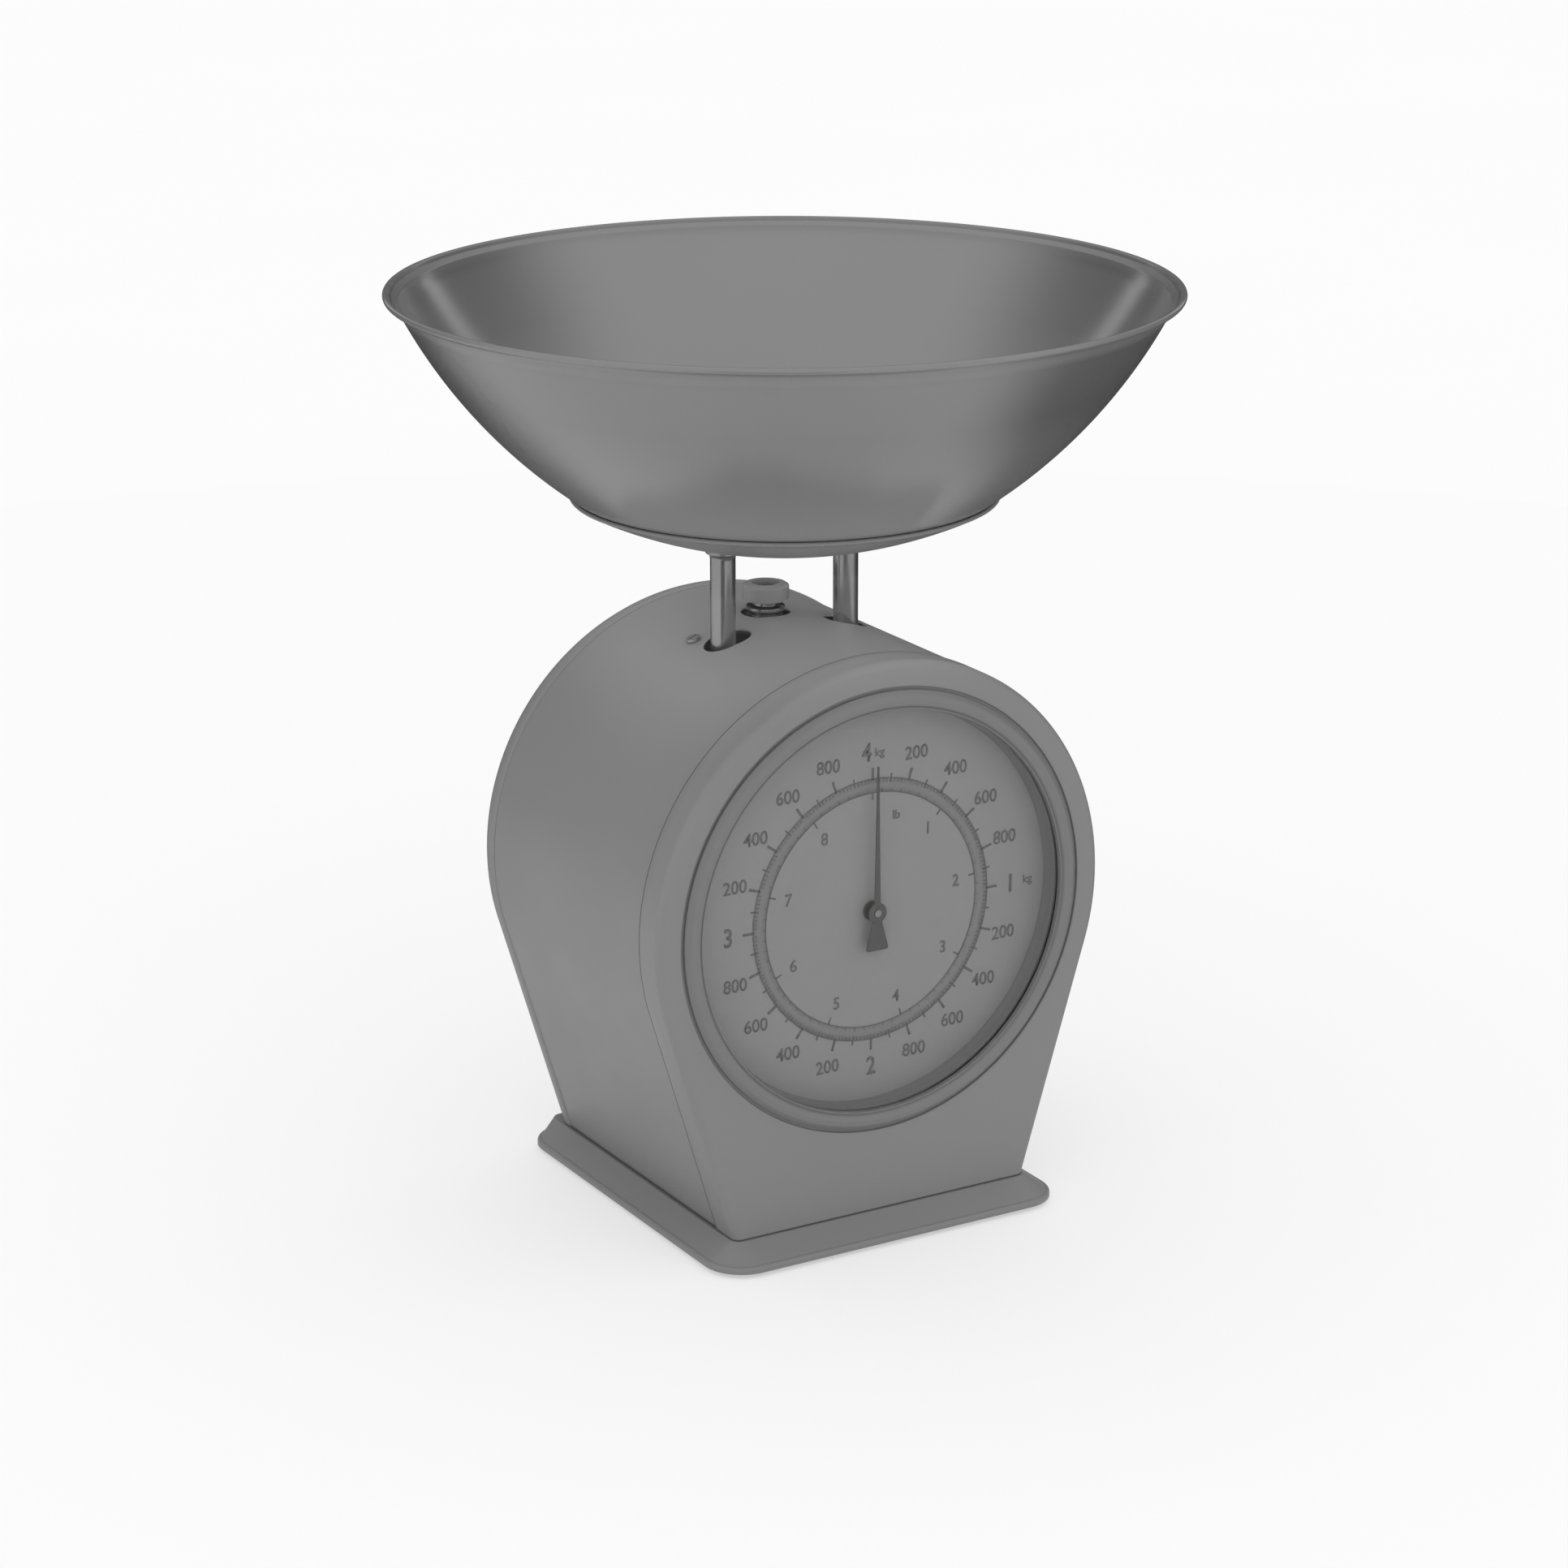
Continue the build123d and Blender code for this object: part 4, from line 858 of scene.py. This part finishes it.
def needle():
    """A thin bevelled needle with a wide tail."""
    tip = POINTER_HIGH.z - DIAL_CENTRE_Z
    tail = POINTER_LOW.z - DIAL_CENTRE_Z
    tail_half = (POINTER_HIGH.x - POINTER_LOW.x) / 2
    right = [(NEEDLE_TIP_HALF, tip), NEEDLE_ROOT, TAIL_ROOT,
             (tail_half, tail + TAIL_CORNER), (tail_half - TAIL_CORNER, tail)]
    left = [(-x, z) for x, z in reversed(right)]
    bm = bmesh.new()
    front, back = [[bm.verts.new((x, y, DIAL_CENTRE_Z + z)) for x, z in right + left]
                   for y in (POINTER_LOW.y, POINTER_HIGH.y)]
    bm.faces.new(front)
    bm.faces.new(back)
    join_loops(bm, front, back)
    blade = mesh_object("needle_blade", bm, NEEDLE, "pointer_group", ["pointer"])
    bevel = blade.modifiers.new("edge", "BEVEL")
    bevel.width = NEEDLE_EDGE
    bevel.segments = 2


def needle_boss():
    """The turned boss that holds the needle, hollowed round the shaft's end."""
    front, back = POINTER_LOW.y, POINTER_HIGH.y
    top = front - BOSS_RISE
    profile = rounded([(SHAFT_RADIUS, back, 0), (SHAFT_RADIUS, front - BOSS_HOLLOW_RISE, 0.0001),
                       (SHAFT_RADIUS + BOSS_HOLLOW_WIDTH, top, 0.0002), (BOSS_TOP_RADIUS, top, 0.0003),
                       (BOSS_RADIUS, front, 0.0002), (BOSS_RADIUS, back, 0)])
    bm = lathe(profile, (0, 0, DIAL_CENTRE_Z), turned_y, SMALL_SEGMENTS)
    mesh_object("needle_boss", bm, NEEDLE, "pointer_group")


# ---------------------------------------------------------------- bowl, platter and posts
BOWL_SEGMENTS = 320
FLOOR_SHARES = (0, 0.3, 0.6, 0.85, 0.97)
CORNER_STEPS = 10
WALL_STEPS = 30
LIP_STEPS = 8
SOFT_EDGE = 50
# (out from the wall's top, up from it, corner radius)
FLARE_BEND = (0.0011, 0.0022, 0.003)
LIP_THROAT = (-0.0001, 0.0029, 0.0009)
# (in from the lip's centre, down from it, corner radius)
FLARE_END = (0.0006, BOWL_BEAD * 0.9, 0)
LIP_BACK = ((BOWL_BEAD, 0, 0), (0.0013, 0.0008, 0.0002), (0.0018, 0.0001, 0.0004))
LIP_ARC = (-115, 180)
LIP_ARC_STEPS = 22
DISH_SEGMENTS = 224
DISH_STEPS = 24
DISH_ARC = (-100, 110)
DISH_ARC_STEPS = 12
POST_SEGMENTS = 72
POST_FLARE_SHARES = (0, 0.2, 0.4, 0.6, 0.75, 0.9, 1.0)
POST_STRAIGHT = 0.03
POST_HEAD = 0.001
POST_LAP = 0.0002


def wall_radius(z, thickness):
    """Radius of the bowl's wall at height z, thickness in from its outer face."""
    radius = WALL_RADIUS - thickness
    return WALL_CENTRE[0] + sqrt(radius ** 2 - (z - WALL_CENTRE[1]) ** 2)


def bowl_side(thickness):
    """One face of the bowl's sheet from the middle of its floor to the top of its wall."""
    foot_r = wall_radius(BOWL_FOOT_Z, 0)
    slope = asin((foot_r - WALL_CENTRE[0]) / WALL_RADIUS)
    centre = (foot_r - BOWL_CORNER * sin(slope), BOWL_FOOT_Z + BOWL_CORNER * cos(slope))
    corner = BOWL_CORNER - thickness
    floor_z = centre[1] - corner
    line = [Vector((centre[0] * share, floor_z)) for share in FLOOR_SHARES]
    turns = [slope * i / CORNER_STEPS for i in range(CORNER_STEPS + 1)]
    line += [Vector((centre[0] + corner * sin(t), centre[1] - corner * cos(t))) for t in turns]
    rise = WALL_TOP_Z - BOWL_FOOT_Z
    heights = [BOWL_FOOT_Z + rise * i / WALL_STEPS for i in range(1, WALL_STEPS + 1)]
    return line + [Vector((wall_radius(z, thickness), z)) for z in heights]


def bowl():
    """The polished bowl: flat floor, curved wall, flared lip with a rolled edge."""
    outer = bowl_side(0)
    inner = bowl_side(BOWL_SHEET)
    top = outer[-1]
    lip_r, lip_z = BOWL_LIP
    bend, throat = [(top.x + out, top.y + up, corner) for out, up, corner in (FLARE_BEND, LIP_THROAT)]
    end, *hem = [(lip_r - inward, lip_z - down, corner) for inward, down, corner in (FLARE_END, *LIP_BACK)]
    flare = rounded([(*top, 0), bend, end], LIP_STEPS)
    edge = arc(BOWL_LIP, BOWL_BEAD, *LIP_ARC, LIP_ARC_STEPS)
    back = rounded([*hem, throat, (*inner[-1], 0)], LIP_STEPS)
    profile = outer + flare[1:] + edge + back[:-1] + inner[::-1]
    bm = lathe(profile, (0, 0, 0), turned_z, BOWL_SEGMENTS)
    mesh_object("bowl_shell", bm, BOWL, "weighing_bowl", ["bowl"], SOFT_EDGE)


def dish_z(r, offset):
    """Height of the platter's dished sheet at radius r, offset up from its underside."""
    return DISH_BOTTOM_Z + DISH_RADIUS - sqrt((DISH_RADIUS - offset) ** 2 - r ** 2)


def platter():
    """The dished platter that carries the bowl, with a rolled rim."""
    radii = [DISH_RIM * i / DISH_STEPS for i in range(DISH_STEPS + 1)]
    under = [Vector((r, dish_z(r, 0))) for r in radii]
    upper = [Vector((r, dish_z(r, DISH_SHEET))) for r in radii]
    bead_z = dish_z(DISH_RIM, DISH_SHEET / 2) + DISH_BEAD_RISE
    edge = arc((DISH_RIM + DISH_BEAD_SHIFT, bead_z), DISH_BEAD, *DISH_ARC, DISH_ARC_STEPS)
    bm = lathe(under[:-1] + edge + upper[::-1][1:], (0, 0, 0), turned_z, DISH_SEGMENTS)
    mesh_object("platter_dish", bm, PLATTER, "carriage", ["platter"], SOFT_EDGE)


def posts():
    """Two turned posts whose flared heads follow the platter's underside."""
    flare_z = DISH_BOTTOM_Z - POST_FLARE_DROP
    head_z = DISH_BOTTOM_Z + POST_HEAD
    shank = [(POST_RADIUS, POST_LOW.z), (POST_RADIUS, flare_z - POST_STRAIGHT)]
    flare = [(POST_RADIUS + POST_FLARE * share ** 3, flare_z + POST_FLARE_DROP * share)
             for share in POST_FLARE_SHARES]
    head = [(POST_RADIUS + POST_FLARE, head_z), (0, head_z)]
    profile = [Vector(point) for point in shank + flare + head]
    bm = bmesh.new()
    for side in (-1, 1):
        first = len(bm.verts)
        lathe(profile, (side * POST_X, 0, 0), turned_z, POST_SEGMENTS, bm)
        bm.verts.ensure_lookup_table()
        for vert in bm.verts[first:]:
            if vert.co.z > DISH_BOTTOM_Z + POST_HEAD / 2:
                vert.co.z = dish_z(hypot(vert.co.x, vert.co.y), 0) + POST_LAP
    mesh_object("post_pair", bm, POST, "carriage", ["load_posts"])


# ---------------------------------------------------------------- zero knob
KNOB_SEGMENTS = 96
CAP_BORE = 0.003
CAP_RECESS = 0.0044
# (in from the cap's side, up from its underside, corner radius)
CAP_FOOT = ((0.0003, 0, 0.0002), (0, 0.0004, 0.0003))
# (in from the cap's side, down from its top, corner radius)
CAP_SHOULDER = ((0, 0.0010, 0.0004), (0.0009, 0.0004, 0.0004))
# (out from the recess, down from the cap's top, corner radius)
CAP_HOLLOW = ((0.0003, 0, 0.0002), (0, 0.0001, 0.0001), (-0.0002, 0.0026, 0.0003),
              (-CAP_RECESS, 0.0026, 0))
BUSH_BORE = 0.0029
BUSH_NECK = 0.0042
BUSH_FOOT_CORNER = 0.0003
# (radius, height, corner radius) of the two turned rings round the neck
BUSH_RINGS = ((BUSH_NECK, 0.1852, 0.0001), (0.0054, 0.1852, 0.0003), (0.0054, 0.1864, 0.0003),
              (BUSH_NECK, 0.1864, 0.0001), (BUSH_NECK, 0.1876, 0.0001), (0.0062, 0.1876, 0.0003),
              (0.0062, 0.1888, 0.0004), (BUSH_NECK, 0.1892, 0.0002))


def knob_cap():
    """The adjusting cap with a bevelled top and a blind recess."""
    low, top = KNOB_LOW.z, KNOB_HIGH.z
    profile = [(CAP_BORE, low, 0)]
    profile += [(KNOB_RADIUS - inward, low + up, corner) for inward, up, corner in CAP_FOOT]
    profile += [(KNOB_RADIUS - inward, top - down, corner) for inward, down, corner in CAP_SHOULDER]
    profile += [(CAP_RECESS + out, top - down, corner) for out, down, corner in CAP_HOLLOW]
    bm = lathe(rounded(profile), (0, KNOB_Y, 0), turned_z, KNOB_SEGMENTS)
    mesh_object("knob_cap", bm, KNOB, "zero_adjuster", ["zero_knob"])


def knob_bush():
    """The bush under the cap, with two turned rings."""
    low, high = COLLAR_LOW.z, COLLAR_HIGH.z
    profile = rounded([(BUSH_BORE, low, 0), (BUSH_NECK, low, BUSH_FOOT_CORNER), *BUSH_RINGS,
                       (BUSH_NECK, high, 0)])
    bm = lathe(profile, (0, KNOB_Y, 0), turned_z, KNOB_SEGMENTS)
    mesh_object("knob_bush", bm, COLLAR, "zero_adjuster", ["zero_collar"])


# ---------------------------------------------------------------- springs
SPRING_X = 0.018
SPRING_TURNS = 20
COIL_RADIUS = 0.004
WIRE_RADIUS = 0.0006
HOOK_ROOM = 0.0005
HOOK_STEPS = 12
TURN_STEPS = 24
WIRE_SIDES = 10
NEARLY_UPRIGHT = 1e-3


def spring_line():
    """The wire's centre line: a half loop, the coil, and a taller half loop that lets its pin rise."""
    low = SPRING_LOW.z + COIL_RADIUS + WIRE_RADIUS
    high = SPRING_HIGH.z - COIL_RADIUS - WIRE_RADIUS
    hook = COIL_RADIUS + HOOK_ROOM
    loop = [radians(180 * i / HOOK_STEPS) for i in range(HOOK_STEPS)]
    line = [Vector((-COIL_RADIUS * cos(t), 0, low - COIL_RADIUS * sin(t))) for t in loop]
    steps = SPRING_TURNS * TURN_STEPS
    for i in range(steps + 1):
        angle = 2 * pi * i / TURN_STEPS
        z = low + (high - low) * i / steps
        line.append(Vector((COIL_RADIUS * cos(angle), COIL_RADIUS * sin(angle), z)))
    line += [Vector((COIL_RADIUS * cos(t), 0, high + hook * sin(t))) for t in loop[1:]]
    line.append(Vector((-COIL_RADIUS, 0, high)))
    return line


def add_wire(bm, line):
    """A round wire along a line, closed at both ends."""
    rings = []
    for i, point in enumerate(line):
        along = (line[min(i + 1, len(line) - 1)] - line[max(i - 1, 0)]).normalized()
        across = along.cross(Vector((0, 0, 1)))
        if across.length < NEARLY_UPRIGHT:
            across = Vector((0, 1, 0))
        across.normalize()
        up = across.cross(along)
        turns = [2 * pi * k / WIRE_SIDES for k in range(WIRE_SIDES)]
        rings.append([bm.verts.new(point + WIRE_RADIUS * (across * cos(t) + up * sin(t))) for t in turns])
    for low, high in zip(rings, rings[1:]):
        join_loops(bm, low, high)
    bm.faces.new(rings[0])
    bm.faces.new(rings[-1])


def springs():
    """Two coil springs that stretch between the hanging bar and the carriage."""
    for side, name in ((-1, "left"), (1, "right")):
        bm = bmesh.new()
        offset = Vector((side * SPRING_X, KNOB_Y, 0))
        add_wire(bm, [p + offset for p in spring_line()])
        bmesh.ops.recalc_face_normals(bm, faces=bm.faces)
        mesh = bpy.data.meshes.new(name + "_spring")
        bm.to_mesh(mesh)
        bm.free()
        mesh.shade_smooth()
        mesh.materials.append(WIRE)
        obj = bpy.data.objects.new(name + "_spring", mesh)
        bpy.context.scene.collection.objects.link(obj)
        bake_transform(obj)
        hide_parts("extension_springs")


# ---------------------------------------------------------------- dial print
PRINT_LIFT = 0.00006
PRINT_DEPTH = 0.00006
MARK_LIFT = 0.00008
BAND_INNER = 0.0382
BAND_OUTER = 0.0427
RING_STEPS = 240
LINE_WIDTH = 0.00022
FULL_SCALE_G = 4000
KILO_G = 1000
NUMERAL_G = 200
SMALLEST_G = 20
POUND_G = 453.6
POUND_OZ = 16
# each mark's step in grams, its two ends out from the band's outer edge, and its width
GRAM_MARKS = ((200, -0.0005, 0.0036, 0.00075), (100, -0.0014, 0.0014, 0.00045), (20, -0.0013, 0, 0.00022))
# each mark's step in ounces, its two ends out from the band's inner edge, and its width
OUNCE_MARKS = ((16, -0.0022, 0, 0.0005), (2, 0, 0.0011, 0.0002))
GRAM_RADIUS = 0.0515
POUND_RADIUS = 0.0312
UNIT_RADIUS = 0.0580
LETTER_STEPS = 4
# size, width share and added weight of each kind of label
KILO_STYLE = (0.0084, 0.85, 0.00012)
GRAM_STYLE = (0.0060, 0.95, 0.00005)
POUND_STYLE = (0.0056, 0.95, 0.00004)
UNIT_STYLE = (0.0040, 1.0, 0.00003)
FINE_UNIT_STYLE = (0.0040, 1.0, 0.0)
# the top numeral and its unit stand side by side, each shifted sideways and up
FULL_SHIFT = (-0.0022, 0)
FULL_UNIT_SHIFT = (0.0026, -0.0008)
POUND_UNIT_TURN = 0.045
KILO_UNIT_TURN = 0.25


def dial_point(radius, turn, lift=0.0):
    """A point on the dial's face; turn is the share of a full circle, clockwise from the top."""
    angle = 2 * pi * turn
    y = DIAL_FACE_Y - PRINT_LIFT - lift
    return Vector((radius * sin(angle), y, DIAL_CENTRE_Z + radius * cos(angle)))


def add_print_ring(bm, inner, outer, lift=0.0):
    loops = [[bm.verts.new(dial_point(r, i / RING_STEPS, lift)) for i in range(RING_STEPS)]
             for r in (inner, outer)]
    join_loops(bm, *loops)


def add_mark(bm, turn, inner, outer, width):
    """One straight mark of a scale."""
    centre = 2 * pi * turn
    across = Vector((cos(centre), 0, -sin(centre))) * width / 2
    a = dial_point(inner, turn, MARK_LIFT)
    b = dial_point(outer, turn, MARK_LIFT)
    bm.faces.new([bm.verts.new(p) for p in (a - across, a + across, b + across, b - across)])


def add_scale_mark(bm, count, turn, marks, edge):
    """The first of the marks whose step divides the count, if any does."""
    for step, inner, outer, width in marks:
        if count % step == 0:
            add_mark(bm, turn, edge + inner, edge + outer, width)
            return


def print_object(name, bm, ink):
    """A piece of print with a thin solid depth."""
    obj = mesh_object(name, bm, ink, "housing")
    modifier = obj.modifiers.new("thickness", "SOLIDIFY")
    modifier.thickness = PRINT_DEPTH
    modifier.offset = 0


def dial_band():
    bm = bmesh.new()
    add_print_ring(bm, BAND_INNER, BAND_OUTER)
    print_object("dial_band", bm, BAND_INK)


def dial_ticks():
    """The band's edge lines, the gram marks round it, and the pound and ounce marks at its inner edge."""
    bm = bmesh.new()
    for radius in (BAND_INNER, BAND_OUTER):
        add_print_ring(bm, radius - LINE_WIDTH / 2, radius + LINE_WIDTH / 2, MARK_LIFT)
    for gram in range(0, FULL_SCALE_G, SMALLEST_G):
        add_scale_mark(bm, gram, gram / FULL_SCALE_G, GRAM_MARKS, BAND_OUTER)
    for ounce in range(int(FULL_SCALE_G / POUND_G * POUND_OZ) + 1):
        turn = ounce / POUND_OZ * POUND_G / FULL_SCALE_G
        add_scale_mark(bm, ounce, turn, OUNCE_MARKS, BAND_INNER)
    print_object("dial_ticks", bm, INK)


def text_mesh(words, size, stretch, weight):
    """The outline of a short text as a flat mesh, centred on its own middle."""
    curve = bpy.data.curves.new("lettering", "FONT")
    curve.body = words
    curve.size = size
    curve.offset = weight
    curve.align_x = "CENTER"
    curve.align_y = "CENTER"
    curve.resolution_u = LETTER_STEPS
    holder = bpy.data.objects.new("lettering", curve)
    bpy.context.scene.collection.objects.link(holder)
    mesh = bpy.data.meshes.new_from_object(holder)
    bpy.data.objects.remove(holder)
    bpy.data.curves.remove(curve)
    low = [min(v.co[i] for v in mesh.vertices) for i in (0, 1)]
    high = [max(v.co[i] for v in mesh.vertices) for i in (0, 1)]
    centre = Vector(((low[0] + high[0]) / 2, (low[1] + high[1]) / 2, 0))
    for v in mesh.vertices:
        v.co -= centre
        v.co.x *= stretch
    return mesh


def stamp(bm, words, style, radius, turn, shift=(0, 0)):
    """Adds an upright label to the dial, centred at a radius and a share of the turn."""
    mesh = text_mesh(words, *style)
    at = dial_point(radius, turn, MARK_LIFT) + Vector((shift[0], 0, shift[1]))
    mesh.transform(Matrix.Translation(at) @ Matrix.Rotation(radians(90), 4, "X"))
    bm.from_mesh(mesh)
    bpy.data.meshes.remove(mesh)


def dial_numerals():
    """The numerals of both scales and their units."""
    bm = bmesh.new()
    for gram in range(0, FULL_SCALE_G, NUMERAL_G):
        turn = gram / FULL_SCALE_G
        if gram % KILO_G:
            stamp(bm, str(gram % KILO_G), GRAM_STYLE, GRAM_RADIUS, turn)
        elif gram:
            stamp(bm, str(gram // KILO_G), KILO_STYLE, GRAM_RADIUS, turn)
    stamp(bm, str(FULL_SCALE_G // KILO_G), KILO_STYLE, GRAM_RADIUS, 0, FULL_SHIFT)
    stamp(bm, "kg", FINE_UNIT_STYLE, GRAM_RADIUS, 0, FULL_UNIT_SHIFT)
    for pound in range(1, int(FULL_SCALE_G / POUND_G) + 1):
        stamp(bm, str(pound), POUND_STYLE, POUND_RADIUS, pound * POUND_G / FULL_SCALE_G)
    stamp(bm, "lb", UNIT_STYLE, POUND_RADIUS, POUND_UNIT_TURN)
    stamp(bm, "kg", UNIT_STYLE, UNIT_RADIUS, KILO_UNIT_TURN)
    print_object("dial_numerals", bm, INK)


# ---------------------------------------------------------------- everything in place
paint_nodes()
front_cover()
front_seam()
rear_cover()
foot_seam()
bezel()
spacer()
shaft_bush()
needle()
needle_boss()
bowl()
platter()
posts()
knob_cap()
knob_bush()
springs()
dial_band()
dial_ticks()
dial_numerals()
add_camera()
add_world()
add_floor()
add_key()
for lamp_name, lamp_values in FILL_LAMPS.items():
    add_fill(lamp_name, *lamp_values)
dark_screen()
dark_mat()
dark_strip()
light_streaks()
bpy.context.scene.view_settings.view_transform = "Standard"
